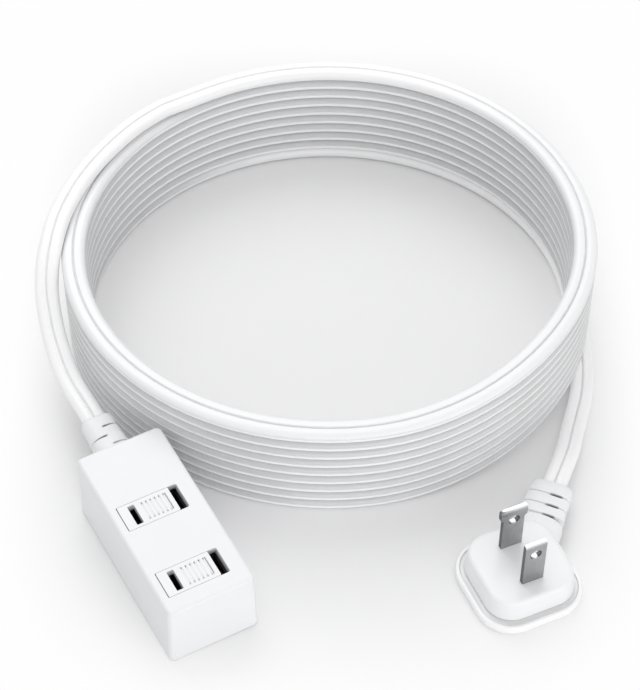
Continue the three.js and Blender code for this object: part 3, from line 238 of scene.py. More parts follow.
# ---- Meshes ----
def skinned(name, rings, wrap=False, along=None):
    """A closed surface through rings[level, step]: quads join each ring to the next. The levels wrap
    round, or the end rings are capped. With along, the UV map holds that distance and the share round."""
    levels, count, _ = rings.shape
    level = np.arange(levels if wrap else levels - 1)[:, None]
    step = np.arange(count)[None, :]
    low, high, after = level * count, ((level + 1) % levels) * count, (step + 1) % count
    quads = np.stack([low + step, low + after, high + after, high + step], -1).reshape(-1, 4)
    faces = quads.tolist()
    if not wrap:
        faces += [list(range(count))[::-1], list(range((levels - 1) * count, levels * count))]
    mesh = bpy.data.meshes.new(name)
    mesh.from_pydata((rings.reshape(-1, 3) * MM).tolist(), [], faces)
    if along is not None:
        u = np.stack([along[:-1], along[:-1], along[1:], along[1:]], -1)[:, None] + 0.0 * step[..., None]
        v = np.stack([step, step + 1, step + 1, step], -1) / count + 0 * u
        uv = np.concatenate([np.stack([u, v], -1).reshape(-1, 2), np.zeros((2 * count, 2))])
        mesh.uv_layers.new(name="UVMap").uv.foreach_set("vector", uv.astype(np.float32).ravel())
    mesh.shade_smooth()
    face_outwards(mesh)
    return linked(name, mesh)


def linked(name, data):
    """A new object in the scene."""
    piece = bpy.data.objects.new(name, data)
    bpy.context.scene.collection.objects.link(piece)
    return piece


def points_of(piece):
    """The piece's points, in mm."""
    points = np.empty(3 * len(piece.data.vertices), np.float32)
    piece.data.vertices.foreach_get("co", points)
    return points.reshape(-1, 3) / MM


def shaded(piece, share_at, name="painted_darkness"):
    """Writes a function of the points, 0 to 1, as an attribute that the finishes read."""
    share = np.clip(share_at(points_of(piece)), 0.0, 1.0)
    attribute = piece.data.attributes.new(name, "FLOAT", "POINT")
    attribute.data.foreach_set("value", share.astype(np.float32))


def move_points(piece, place):
    """Moves every point of a piece by a function of points in mm."""
    points = place(points_of(piece)) * MM
    piece.data.vertices.foreach_set("co", points.astype(np.float32).ravel())
    piece.data.update()


def face_outwards(mesh):
    """Turns every face of a closed mesh outwards."""
    shape = bmesh.new()
    shape.from_mesh(mesh)
    bmesh.ops.recalc_face_normals(shape, faces=shape.faces)
    shape.to_mesh(mesh)
    shape.free()


def applied(piece):
    """Applies the piece's modifiers to its mesh."""
    graph = bpy.context.evaluated_depsgraph_get()
    mesh = bpy.data.meshes.new_from_object(piece.evaluated_get(graph))
    old, piece.data = piece.data, mesh
    piece.modifiers.clear()
    mesh.name = piece.name
    bpy.data.meshes.remove(old)


def combined(piece, rings_list, operation="DIFFERENCE"):
    """Cuts closed shapes from the piece, or joins them to it, one after another."""
    for rings in rings_list:
        tool = skinned("tool", rings)
        modifier = piece.modifiers.new("combine", "BOOLEAN")
        modifier.operation, modifier.solver, modifier.object = operation, "EXACT", tool
        applied(piece)
        bpy.data.objects.remove(tool)


def softened(piece, width, segments=3, angle=38.0):
    """Rounds every edge sharper than the angle by the width, in mm, and shades flats flat."""
    bevel = piece.modifiers.new("soften", "BEVEL")
    bevel.limit_method, bevel.angle_limit = "ANGLE", math.radians(angle)
    bevel.width, bevel.segments = width * MM, segments
    bevel.use_clamp_overlap = True
    weighted = piece.modifiers.new("shade", "WEIGHTED_NORMAL")
    weighted.keep_sharp, weighted.weight = True, 60
    applied(piece)
    piece.data.shade_smooth()


def placed(piece, slot, kind, *nodes, body=BODY):
    """Gives a piece its material slot, finish and body, and lets it stand for its CAD nodes."""
    piece.data.materials.clear()
    piece.data.materials.append(finish_of(kind))
    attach(piece, body)
    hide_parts(*nodes)


# ---- Finishes ----
def added(tree, kind, inputs=(), **settings):
    """A new shader node with those settings; an input takes another node's output or a plain value."""
    node = tree.nodes.new("ShaderNode" + kind)
    for key, value in settings.items():
        setattr(node, key, value)
    for key, value in dict(inputs).items():
        if isinstance(value, bpy.types.NodeSocket):
            tree.links.new(value, node.inputs[key])
        else:
            node.inputs[key].default_value = value
    return node


def tree_of(name, color, values):
    """A new material, its node tree and its shader with those values."""
    material = bpy.data.materials.new(name)
    material.use_nodes = True
    material.diffuse_color = (*color, 1.0)
    shader = material.node_tree.nodes["Principled BSDF"]
    for key, value in {"Base Color": (*color, 1.0), **values}.items():
        shader.inputs[key].default_value = value
    return material, material.node_tree, shader


def noise_of(tree, vector, scale, detail=3.0, stretch=None):
    """A noise texture on the given coordinates; stretch scales them along each axis first."""
    if stretch is not None:
        vector = added(tree, "Mapping", {"Vector": vector, "Scale": stretch}).outputs["Vector"]
    return added(tree, "TexNoise", {"Vector": vector, "Scale": scale, "Detail": detail}).outputs["Fac"]


def mottled(tree, noise, color, darkest):
    """The colour where the noise is high, and that share of it where the noise is low."""
    ramp = added(tree, "ValToRGB", {"Fac": noise})
    for element, place, share in zip(ramp.color_ramp.elements, (NOISE_LOW, NOISE_HIGH), (darkest, 1.0)):
        element.position, element.color = place, (*(part * share for part in color), 1.0)
    return ramp.outputs["Color"]


def spread_of(tree, value, start, end, low, high, **settings):
    """The value's way from start to end spread between two numbers."""
    inputs = {"Value": value, "From Min": start, "From Max": end, "To Min": low, "To Max": high}
    return added(tree, "MapRange", inputs, **settings).outputs["Result"]


def joined(tree, operation, first, second):
    """The result of a maths operation on two values."""
    return added(tree, "Math", {0: first, 1: second}, operation=operation).outputs[0]


def roughened(tree, shader, noise, low, high):
    """Leads a roughness from low to high to the shader, by the noise."""
    roughness = spread_of(tree, noise, NOISE_LOW, NOISE_HIGH, low, high)
    tree.links.new(roughness, shader.inputs["Roughness"])


def bumped(tree, shader, value, strength, distance):
    """Leads a bump of the given height, in mm, to the shader's normal."""
    bump = added(tree, "Bump", {"Height": value, "Strength": strength, "Distance": distance * MM})
    tree.links.new(bump.outputs["Normal"], shader.inputs["Normal"])


def attribute_of(tree, name):
    """One of the piece's own attributes, 0 where it has none."""
    return added(tree, "Attribute", attribute_name=name).outputs["Fac"]


def mixed(tree, share, color, other):
    """A colour that turns into another by a share."""
    inputs = {"Factor": share, "A": color, "B": (*other, 1.0)}
    return added(tree, "Mix", inputs, data_type="RGBA").outputs["Result"]


def painted_crease_shade_and_bounce(tree, color, depth):
    """Painted shade and painted light on the colour: paler where it faces down, as painted bounce light from
    the floor, and darker where it faces outwards and up and another turn lies close above, as painted shade
    in the
    creases: depth x (the share of the sky taken within the overhang) x (a band of the normal's rise), but not
    where the piece's "flat" attribute is 1."""
    upward = added(tree, "CombineXYZ", {"Z": 1.0}).outputs[0]
    open_sky = added(tree, "AmbientOcclusion", {"Distance": OVERHANG * MM, "Normal": upward}, samples=4)
    rise = added(tree, "SeparateXYZ", {0: added(tree, "NewGeometry").outputs["Normal"]}).outputs["Z"]
    taken = spread_of(tree, open_sky.outputs["AO"], 0.42, 0.62, 1.0, 0.0)
    rising = spread_of(tree, rise, 0.0, 0.3, 0.0, 1.0)
    band = joined(tree, "MULTIPLY", rising, spread_of(tree, rise, 0.45, 0.95, 1.0, 0.6))
    side = spread_of(tree, attribute_of(tree, "flat"), 0.0, 1.0, depth, 0.0)
    painted_shade = joined(tree, "MULTIPLY", joined(tree, "MULTIPLY", taken, band), side)
    painted_bounce = mixed(tree, spread_of(tree, rise, 0.2, -0.1, 0.0, 1.0), color, PAINTED_BOUNCE_LIGHT)
    return mixed(tree, painted_shade, painted_bounce, PAINTED_CREASE_SHADE)


def painted_light_and_shade(tree, shader, color):
    """Leads a colour to the shader with painted light and shade: lighter by the piece's attribute of painted
    light, darker by its attribute of painted shade or by its depth, as painted shade down slots.
    """
    deep = spread_of(tree, attribute_of(tree, "depth"), DARK_FROM, BLACK_FROM, 0.0, 1.0)
    share = joined(tree, "MAXIMUM", attribute_of(tree, "painted_darkness"), deep)
    bright = mixed(tree, attribute_of(tree, "painted_brightness"), color, PAINTED_LIGHT)
    tree.links.new(mixed(tree, share, bright, SHADOW), shader.inputs["Base Color"])


def moulded(name, color, roughness, grain=0.02, coat=0.0):
    """Moulded plastic: faint flow marks in the colour, an uneven gloss and a fine spark-eroded grain."""
    values = {"Roughness": roughness, "IOR": 1.5, "Coat Weight": coat}
    material, tree, shader = tree_of(name, color, values)
    place = added(tree, "TexCoord").outputs["Object"]
    painted_light_and_shade(tree, shader, mottled(tree, noise_of(tree, place, 70.0, 4.0), color, 0.985))
    roughened(tree, shader, noise_of(tree, place, 420.0), roughness - 0.04, roughness + 0.05)
    bumped(tree, shader, noise_of(tree, place, 3200.0, 2.0), 0.25, grain)
    return material


def extruded(name, color, roughness):
    """Extruded flexible PVC: fine streaks that run along the cord on its own map, and a soft haze."""
    values = {"Roughness": roughness, "IOR": 1.53, "Coat Weight": 0.4, "Coat Roughness": 0.15}
    material, tree, shader = tree_of(name, color, values)
    places = added(tree, "TexCoord").outputs
    streaks = noise_of(tree, places["UV"], 1.0, stretch=(0.04, 90.0, 1.0))
    # Painted crease shade and painted bounce light on the cord.
    painted_light_and_shade(tree, shader, painted_crease_shade_and_bounce(tree, mottled(tree, streaks, color, 0.975), 0.5))
    roughened(tree, shader, noise_of(tree, places["Object"], 260.0), roughness - 0.05, roughness + 0.06)
    bumped(tree, shader, streaks, 0.2, 0.03)
    return material


def plated(name, color, roughness, stretch):
    """Plated sheet metal: brush lines along one way in the gloss and the bump, and a faint mottle."""
    material, tree, shader = tree_of(name, color, {"Roughness": roughness, "Metallic": 1.0})
    place = added(tree, "TexCoord").outputs["Object"]
    brushed = noise_of(tree, place, 1.0, 5.0, stretch)
    painted_light_and_shade(tree, shader, mottled(tree, noise_of(tree, place, 300.0), color, 0.86))
    roughened(tree, shader, brushed, roughness - 0.06, roughness + 0.1)
    bumped(tree, shader, brushed, 0.3, 0.01)
    return material


def finish_of(kind):
    """The finish of that kind, made once."""
    ready = bpy.data.materials.get(kind)
    if ready is not None:
        return ready
    looks = bpy.context.scene.cord_finishes
    shell, cord, metal = (tuple(value) for value in (looks.shell_color, looks.cord_color, looks.metal_color))
    maker, *values = {
        "tap shell plastic": (moulded, shell, looks.shell_roughness, 0.02, 0.08),
        "shutter plastic": (moulded, shell, looks.shell_roughness - 0.06, 0.012, 0.1),
        "plug plastic": (moulded, cord, looks.shell_roughness - 0.02, 0.015, 0.1),
        "cord vinyl": (extruded, cord, looks.cord_roughness),
        "strain relief vinyl": (moulded, cord, looks.cord_roughness, 0.03),
        "carrier plastic": (moulded, CARRIER_BLACK, 0.5, 0.03),
        "blade nickel": (plated, metal, 0.3, (9000.0, 9000.0, 500.0)),
        "contact brass": (plated, BRASS, 0.35, (600.0, 6000.0, 6000.0)),
        "screw steel": (plated, STEEL, 0.34, (3000.0, 3000.0, 3000.0)),
    }[kind]
    return maker(kind, *values)


def refinished(kind, *nodes):
    """Gives CAD nodes a finish on their own slots."""
    for node in nodes:
        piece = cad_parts[node]
        if not piece.material_slots:
            piece.data.materials.append(finish_of(kind))
        for slot in piece.material_slots:
            slot.link = "OBJECT"
            slot.material = finish_of(kind)


# ---- Cord ----
def coil_path():
    """The coil from its top end to its low end: an ellipse that rises one pitch in each turn's climb."""
    degrees = np.linspace(TURNS_START, TURNS_END, 1 + int(TURNS_START / 3.75))
    angle, turn = np.radians(degrees), np.floor(degrees / 360.0)
    climbed = turn + smoothstep((degrees - 360.0 * turn - CLIMB[0]) / (CLIMB[1] - CLIMB[0]))
    x, y = COIL_HALF_AXES[0] * np.cos(angle), COIL_HALF_AXES[1] * np.sin(angle)
    return np.column_stack([x, y, TURN_PITCH * (0.5 + climbed)])


def cord_path():
    """The whole cord from inside the tap's strain relief, round the coil, to inside the plug's."""
    tap_side = curve_through(TAP_LEAD, 1.2)[:-6]
    plug_side = curve_through(PLUG_LEAD, 1.2)[6:]
    return from_laid(np.concatenate([tap_side, coil_path(), plug_side]))


def twin_section(width, thickness):
    """The twin cord's outline: round edges, crowned flats and a groove in each, d (1 - |x| / g)^1.2 deep."""
    round_end, middle = thickness / 2, width / 2 - thickness / 2
    x = np.concatenate([np.linspace(middle, 0.62, 4), [0.44, 0.34, 0.25, 0.14, 0.0]])
    x = np.concatenate([x, -x[-2::-1]])
    groove = GROOVE[1] * np.clip(1 - np.abs(x) / GROOVE[0], 0.0, 1.0) ** 1.2
    flat = round_end - 0.12 * (np.abs(x) / middle - 1) ** 2 - groove
    angle = np.linspace(np.pi / 2, 3 * np.pi / 2, 14)[1:-1]
    left = np.column_stack([-middle + round_end * np.cos(angle), round_end * np.sin(angle)])
    return np.concatenate([np.column_stack([x, flat]), left, np.column_stack([-x, -flat]), -left])


def number(name, description, default, **more):
    """A number as a property."""
    return bpy.props.FloatProperty(name=name, description=description, default=default, **more)


def tint(name, description, default):
    """A colour as a property."""
    return bpy.props.FloatVectorProperty(
        name=name, description=description, default=default, subtype="COLOR")


class CordSizes(bpy.types.PropertyGroup):
    """Sizes of the flat twin cord."""
    width: number("Width", "Across both cores", 7.0 * MM, unit="LENGTH")
    thickness: number("Thickness", "Through one core", 3.64 * MM, unit="LENGTH")


class CordFinishes(bpy.types.PropertyGroup):
    """Colours and gloss of the finishes."""
    shell_color: tint("Shell", "Colour of the moulded shells", (0.86, 0.865, 0.88))
    shell_roughness: number("Shell Roughness", "Roughness of the moulded shells", 0.38, subtype="FACTOR")
    cord_color: tint("Cord", "Colour of the cord and strain reliefs", (0.885, 0.89, 0.9))
    cord_roughness: number("Cord Roughness", "Roughness of cord and strain reliefs", 0.34, subtype="FACTOR")
    metal_color: tint("Blades", "Colour of the plated blades", (0.42, 0.425, 0.43))


class StageSettings(bpy.types.PropertyGroup):
    """Light and camera of the stage."""
    key_power: number("Softbox", "Power of the softbox over the object", 5.0, unit="POWER")
    front_power: number("Front Softbox", "Power of the low softbox in front of the object", 4.0, unit="POWER")
    sky_low: number("Low Sky", "Strength of the sky at the horizon", 0.23)
    sky_high: number("High Sky", "Strength of the sky overhead", 0.98)
    floor_color: tint("Floor", "Colour of the floor", (0.88, 0.88, 0.883))
    floor_white: number("Floor White", "Share of white away from the object", 0.93, subtype="FACTOR")
    camera_distance: number("Distance", "From the camera to its aim", 0.649, unit="LENGTH")
    camera_lens: number("Lens", "Focal length on a 36 mm wide sensor", 120.77, unit="CAMERA")


class MakeCord(bpy.types.Operator):
    """Lays the flat twin cord from the tap round the coil to the plug"""
    bl_idname = "extension_cord.cord"
    bl_label = "Cord"

    def execute(self, context):
        sizes = context.scene.cord_sizes
        path = cord_path()
        along = np.concatenate([[0.0], np.cumsum(np.linalg.norm(np.diff(path, axis=0), axis=1))])
        section = twin_section(sizes.width / MM, sizes.thickness / MM)
        rings = carried(path, section)
        cord = skinned("flat_cord", rings, along=along)
        flat = np.abs(section[:, 0]) < (sizes.width - sizes.thickness) / 2 / MM
        shaded(cord, lambda points: np.tile(flat, len(rings)).astype(float), "flat")
        # Painted light on both leads, lightening them against the shade of the coil beside them.
        ends = 1 - smoothstep((np.minimum(along, along[-1] - along) - LEAD_LIGHT) / LEAD_FADE)
        shaded(cord, lambda points: np.repeat(ends, len(section)), "painted_brightness")
        placed(cord, "white_pvc", "cord vinyl", "cord_to_tap", "cord_coil", "cord_to_plug")
        return {"FINISHED"}


# ---- Tap ----
def grip_rings():
    """The grip's top: grooves across the travel, |sin|^8 in x, deeper by y^4 towards their ends, and a
    sharper one along the end that the finger pushes."""
    length, width, depth, pitch = GRIP
    x = np.linspace(-length / 2 - 0.1, length / 2 + 0.1, 203)
    y = np.linspace(-width / 2 - 0.1, width / 2 + 0.1, 49)
    across, along = np.meshgrid(x, y)
    inside = smoothstep((width / 2 + 0.02 - np.abs(along)) / 0.12)
    grooves = np.abs(np.sin(np.pi * across / pitch)) ** 8 * (np.abs(across) < length / 2 - 0.1)
    sunk = grooves * (0.14 + 0.5 * np.abs(2 * along / width) ** 4) * inside
    sunk += 0.5 * np.exp(-((across - length / 2 + 0.16) / 0.11) ** 2) * inside
    top = np.stack([across, along, TAP_HEIGHT - 0.015 - sunk], -1)
    low = top[:, ::-1].copy()
    low[..., 2] = TAP_HEIGHT - depth - 0.2
    return np.concatenate([top, low], 1)


def off_outlet(y):
    """How far along +Y from the nearest outlet's middle."""
    first, second = y - np.array(OUTLET_YS)[:, None]
    return np.where(np.abs(first) < np.abs(second), first, second)


def sunk_where(inside, z):
    """The depth below the tap's face in the attribute's units where inside is true, else 0."""
    return np.where(inside, (TAP_HEIGHT - z) / DEPTH_UNIT, 0.0)


class MakeTapShell(bpy.types.Operator):
    """Moulds the tap's shell with its two shutter windows and the notch for the strain relief"""
    bl_idname = "extension_cord.tap_shell"
    bl_label = "Tap Shell"

    def execute(self, context):
        crown = edge_round(TAP_HEIGHT, TAP_ROUND, True, 7)
        levels = [(0.0, 0.35), (0.12, 0.1), (0.4, 0.0), *crown, (TAP_HEIGHT, TAP_ROUND + 0.6)]
        rings = stacked(TAP_HALF_X, TAP_HALF_Y, TAP_CORNER, levels, 12)
        drop = np.clip(1 - rings[..., 2] / (TAP_HEIGHT - TAP_ROUND), 0.0, 1.0)
        rings[..., 0] *= 1 + TAP_DRAFT / TAP_HALF_X * drop
        shell = skinned("tap_shell", rings)
        inner_x, inner_y, half = TAP_HALF_X - SIDE_WALL, TAP_HALF_Y - SIDE_WALL, WINDOW[2] / 2
        inner = stacked(inner_x, inner_y, 0.3, [(-OVER, 0.0), (FACE_UNDERSIDE, 0.0)])
        low, high = FACE_UNDERSIDE - OVER, TAP_HEIGHT + OVER
        windows = [block(*WINDOW[:2], y - half, y + half, low, high) for y in OUTLET_YS]
        notch = block(-NOTCH_HALF, NOTCH_HALF, inner_y - OVER, TAP_HALF_Y + OVER, -OVER, NOTCH_TOP, 0.4)
        combined(shell, [inner, *windows, notch, *map(self.slope, OUTLET_YS)])
        softened(shell, 0.16)
        shaded(shell, self.depth, "depth")
        shaded(shell, self.shade)
        placed(shell, "white_shell", "tap shell plastic", "tap_housing")
        return {"FINISHED"}

    def slope(self, y):
        """A wedge that leans back the window's wall past the shutter, as a lead-in for the finger."""
        deep = TAP_HEIGHT - FACE_UNDERSIDE + 0.1
        wedge = np.array([(0.1, 0.1), (-WINDOW_SLOPE, 0.1), (0.0, -deep), (0.1, -deep)])
        half = WINDOW[2] / 2 - 0.2
        return along_y([(end, TAP_HEIGHT, wedge - (WINDOW[1], 0.0)) for end in (y - half, y + half)])

    def depth(self, points):
        """The depth below the face, inside the windows."""
        x, y, z = points.T
        beside = np.abs(off_outlet(y)) < WINDOW[2] / 2 + NEAR
        return sunk_where((x > WINDOW[0] - NEAR) & (x < WINDOW[1] + 0.05) & beside, z)

    def shade(self, points):
        """Painted shade: a painted contact shadow along the foot, and painted shade towards the bottom of the
        windows' far and sloped walls.
        """
        x, y, z = points.T
        off, half = off_outlet(y), WINDOW[2] / 2
        window = (x > WINDOW[0]) & (x < WINDOW[1] + 0.1) & (z > FACE_UNDERSIDE - 0.1)
        far = window & (np.abs(off - half) < 0.03) & (z < TAP_HEIGHT - 0.1)
        sloped = window & (np.abs(off) < half) & (x > WINDOW[1] - 0.1) & (z < FACE_UNDERSIDE + 0.5)
        return np.where(far, 0.6, np.where(sloped, 0.8, 0.5 * (z < 0.2)))


class MakeShutters(bpy.types.Operator):
    """Makes the two sliding shutters with their slots and ribbed grips"""
    bl_idname = "extension_cord.shutters"
    bl_label = "Shutters"

    def execute(self, context):
        start, half, reach = WINDOW[0] + SLIDE_GAP, WINDOW[2] / 2 - SIDE_GAP, WINDOW[2] / 2 + FLANGE_LIP
        top = FACE_UNDERSIDE - SLIDE_GAP
        low = top - FLANGE
        flange = block(start, SHUTTER_END, -reach, reach, low, top, 0.2)
        middle, wide, long = SHUTTER_SLOT[0], SHUTTER_SLOT[1] / 2, SHUTTER_SLOT[2] / 2
        slot = block(middle - wide, middle + wide, -long, long, low - OVER, TAP_HEIGHT + OVER, 0.25)
        long, wide, sunk = GRIP[0] / 2, GRIP[1] / 2, TAP_HEIGHT - GRIP[2]
        pocket = block(-long, long, -wide, wide, sunk, TAP_HEIGHT + OVER, 0.5)
        for count, y in enumerate(OUTLET_YS, 1):
            plain = block(start, SHUTTER_END, -half, half, low, TAP_HEIGHT, 0.35)
            slider = skinned(f"slider_{count}", plain)
            combined(slider, [flange], "UNION")
            combined(slider, [slot, pocket])
            softened(slider, 0.14)
            combined(slider, [grip_rings()], "UNION")
            shaded(slider, self.depth, "depth")
            shaded(slider, self.grooves)
            move_points(slider, lambda points: points + (0.0, y, 0.0))
            shutter = f"shutter_{count}"
            placed(slider, "white_slider", "shutter plastic", shutter, body=shutter)
        return {"FINISHED"}

    def depth(self, points):
        """The depth below the face, in the slot."""
        x, y, z = points.T
        beside = np.abs(x - SHUTTER_SLOT[0]) < SHUTTER_SLOT[1] / 2 + NEAR
        return sunk_where(beside & (np.abs(y) < SHUTTER_SLOT[2] / 2 + NEAR), z)

    def grooves(self, points):
        """Painted shade in the grip's grooves by their depth, and some painted shade on the slot's far wall.
        """
        x, y, z = points.T
        down = TAP_HEIGHT - z
        grip = (np.abs(x) < GRIP[0] / 2) & (np.abs(y) < GRIP[1] / 2 + 0.05)
        within = (np.abs(x - SHUTTER_SLOT[0]) < SHUTTER_SLOT[1] / 2) & (down > 0.1)
        far = within & (np.abs(y - SHUTTER_SLOT[2] / 2) < 0.03)
        return np.where(grip, 0.8 * smoothstep((down - 0.2) / 0.4), 0.6 * far)


class MakeTapRelief(bpy.types.Operator):
    """Moulds the tap's tapered strain relief with its alternating half slits"""
    bl_idname = "extension_cord.tap_relief"
    bl_label = "Tap Strain Relief"

    def execute(self, context):
        tip, near = BOOT_REACH, BOOT_SLIT_REACH
        keys = (-4.6, -2.1, -2.05, 0.25, 0.3, 0.7, 6.0, tip - 4.0, tip - 1.0, tip - 0.3, tip)
        wide = (5.7, 5.7, 4.5, 4.5, 5.1, 5.3, 5.1, 4.75, 4.7, 4.45, 4.0)
        high = (4.9, 4.9, 3.7, 3.7, 4.5, 4.7, 4.1, 3.4, 3.3, 3.05, 2.6)
        power = (6.0, 6.0, 5.0, 5.0, 3.2, 3.0, 3.0, 3.0, 3.0, 3.0, 3.0)
        fine = [np.linspace(slit - near, slit + near, 41) for slit in BOOT_SLITS]
        sections, painted_shade = [], []
        for y in np.unique(np.concatenate([keys, np.linspace(0.7, tip - 1.0, 40), *fine])):
            outline = superellipse(*[np.interp(y, keys, sizes) for sizes in (wide, high, power)], 160)
            cuts = [self.slit(y - slit, -outline[:, 0] * side) for slit, side in zip(BOOT_SLITS, (1, -1, 1))]
            sections.append((TAP_HALF_Y + y, BOOT_HEIGHT, outline * (1 - 0.22 * sum(cuts))[:, None]))
            # Painted shade in each slit, by its depth.
            painted_shade.append(np.dot(BOOT_SLIT_SHADES, cuts))
        boot = skinned("tap_boot", along_y(sections))
        shaded(boot, lambda points: np.concatenate(painted_shade))
        placed(boot, "white_pvc", "strain relief vinyl", "tap_strain_relief")
        return {"FINISHED"}

    def slit(self, off, across):
        """A half slit's depth, 0 to 1: exp(-(off / half)^6), its half width tapering to the side."""
        half = np.clip(0.36 - 0.055 * across, 0.08, 0.36)
        return np.exp(-((off / half) ** 6)) * smoothstep((across - 0.1) / 0.5)


class FinishInside(bpy.types.Operator):
    """Gives the tap's base and screws and all inner pieces their finishes"""
    bl_idname = "extension_cord.inside"
    bl_label = "Inner Pieces"

    def execute(self, context):
        refinished("tap shell plastic", "tap_base")
        refinished("screw steel", "base_screw_1", "base_screw_2")
        refinished("carrier plastic", "contact_carrier", "plug_bridge")
        refinished("contact brass", "contact_bar_line", "contact_bar_neutral")
        cores = [f"{end}_core_{pole}" for end in ("tap", "plug") for pole in ("line", "neutral")]
        refinished("strain relief vinyl", *cores)
        return {"FINISHED"}


# ---- Plug ----
def square_reach(half, corner, angle):
    """How far a ray from the middle runs inside a round-cornered square: to its side or a corner's circle."""
    across, along = np.abs(np.cos(angle)), np.abs(np.sin(angle))
    flat, centre = half / np.maximum(across, along), half - corner
    towards = centre * (across + along)
    circle = towards + np.sqrt(np.maximum(towards ** 2 - 2 * centre ** 2 + corner ** 2, 0.0))
    return np.where(np.minimum(across, along) * flat <= centre, flat, circle)


def neck_reach(half, angle):
    """How far a ray runs inside the neck, off its diagonal: a power mean of its sides and its end."""
    ahead = np.cos(angle)
    side, front = half / np.maximum(np.abs(np.sin(angle)), 1e-6), NECK_END / np.maximum(ahead, NECK_AHEAD)
    mean = (side ** -NECK_EASE + front ** -NECK_EASE) ** (-1 / NECK_EASE)
    return np.where(ahead < NECK_AHEAD, 0.0, mean)


def plug_ring(height, inset, neck_half, count=720):
    """The plug's outline at one height: the larger of wall and neck, eased by log(1 + exp) into a fillet."""
    angle = np.linspace(0.0, 2 * np.pi, count, endpoint=False)
    reach = square_reach(BODY_HALF - inset, BODY_CORNER - min(inset, BODY_CORNER / 2), angle)
    if neck_half > 0:
        neck = neck_reach(neck_half, angle - np.pi / 4)
        larger, smaller = np.maximum(reach, neck), np.minimum(reach, neck)
        reach = larger + np.log1p(np.exp((smaller - larger) / NECK_FILLET)) * NECK_FILLET
    return np.column_stack([reach * np.cos(angle), reach * np.sin(angle), np.full(count, height)])


class MakePlugHousing(bpy.types.Operator):
    """Moulds the plug's cover and its narrower body with the neck on the diagonal"""
    bl_idname = "extension_cord.plug_housing"
    bl_label = "Plug Housing"

    def execute(self, context):
        top, floor = COVER_THICKNESS, COVER_THICKNESS - CHANNEL_DEPTH
        inner = COVER_HALF - BODY_HALF
        outer = inner - CHANNEL_WIDTH
        levels = [(0.0, 1.6), *edge_round(0.0, 0.8, False, 5), *edge_round(top, 0.5, True, 5)]
        levels += [(top, outer - 0.15), (top - 0.06, outer - 0.03), (floor + 0.06, outer + 0.03)]
        levels += [(floor, outer + 0.15), (floor, inner), (top, inner + 0.3), (top, inner + 1.5)]
        cover = skinned("plug_back", from_plug(stacked(COVER_HALF, COVER_HALF, COVER_CORNER, levels, 20)))
        # Painted shade: a dark line down the channel's outer wall.
        painted_shade = [0.3 * (abs(inset - outer) < 0.05 and height > 1) for height, inset in levels]
        shaded(cover, lambda points: np.repeat(painted_shade, len(points) // len(levels)))
        # Painted light: the whole cover is lightened against the shade that the body casts on its channel.
        shaded(cover, lambda points: np.ones(len(points)), "painted_brightness")
        placed(cover, "white_shell", "plug plastic", "plug_cover")
        placed(self.body(), "white_shell", "plug plastic", "plug_body")
        return {"FINISHED"}

    def body(self):
        """Rings at rising heights: the drafted wall, its soft upper edge and the face."""
        wall, face = PLUG_HEIGHT - BODY_ROUND - BODY_BOTTOM, edge_round(PLUG_HEIGHT, BODY_ROUND, True, 10)
        shares = (0.1, 0.3, 0.5, 0.64, 0.74, 0.81, 0.86, 0.895, 0.915, 0.925, 0.94)
        levels = [(BODY_BOTTOM, 0.12), (BODY_BOTTOM + 0.12, 0.0)]
        levels += [(BODY_BOTTOM + share * wall, share * BODY_DRAFT) for share in shares]
        levels += [(height, BODY_DRAFT + inset) for height, inset in face]
        levels += [(PLUG_HEIGHT, BODY_DRAFT + inset) for inset in (2.2, 4.0, 6.0)]
        rings = []
        for height, inset in levels:
            rise = min(max((height - BODY_BOTTOM) / (NECK_TOP - BODY_BOTTOM), 0.0), 1.0)
            rings.append(plug_ring(height, inset, NECK_ROOT / 2 * (1 - rise ** 6) ** 0.5))
        body = skinned("plug_shell", np.array(rings))
        (long, wide), under, over = BLADE_SLIT, PLUG_HEIGHT - PLUG_FACE_WALL, PLUG_HEIGHT + OVER
        slits = [block(-long, long, y - wide, y + wide, under - OVER, over, 0.1) for y in BLADE_YS]
        pocket = stacked(POCKET_HALF, POCKET_HALF, POCKET_CORNER, [(BODY_BOTTOM - OVER, 0.0), (under, 0.0)])
        combined(body, [pocket, *slits])
        softened(body, 0.06, 2, 55.0)
        # Painted contact shadow along the body's foot.
        shaded(body, lambda points: 0.5 * (points[:, 2] < BODY_BOTTOM + 0.2))
        move_points(body, from_plug)
        return body


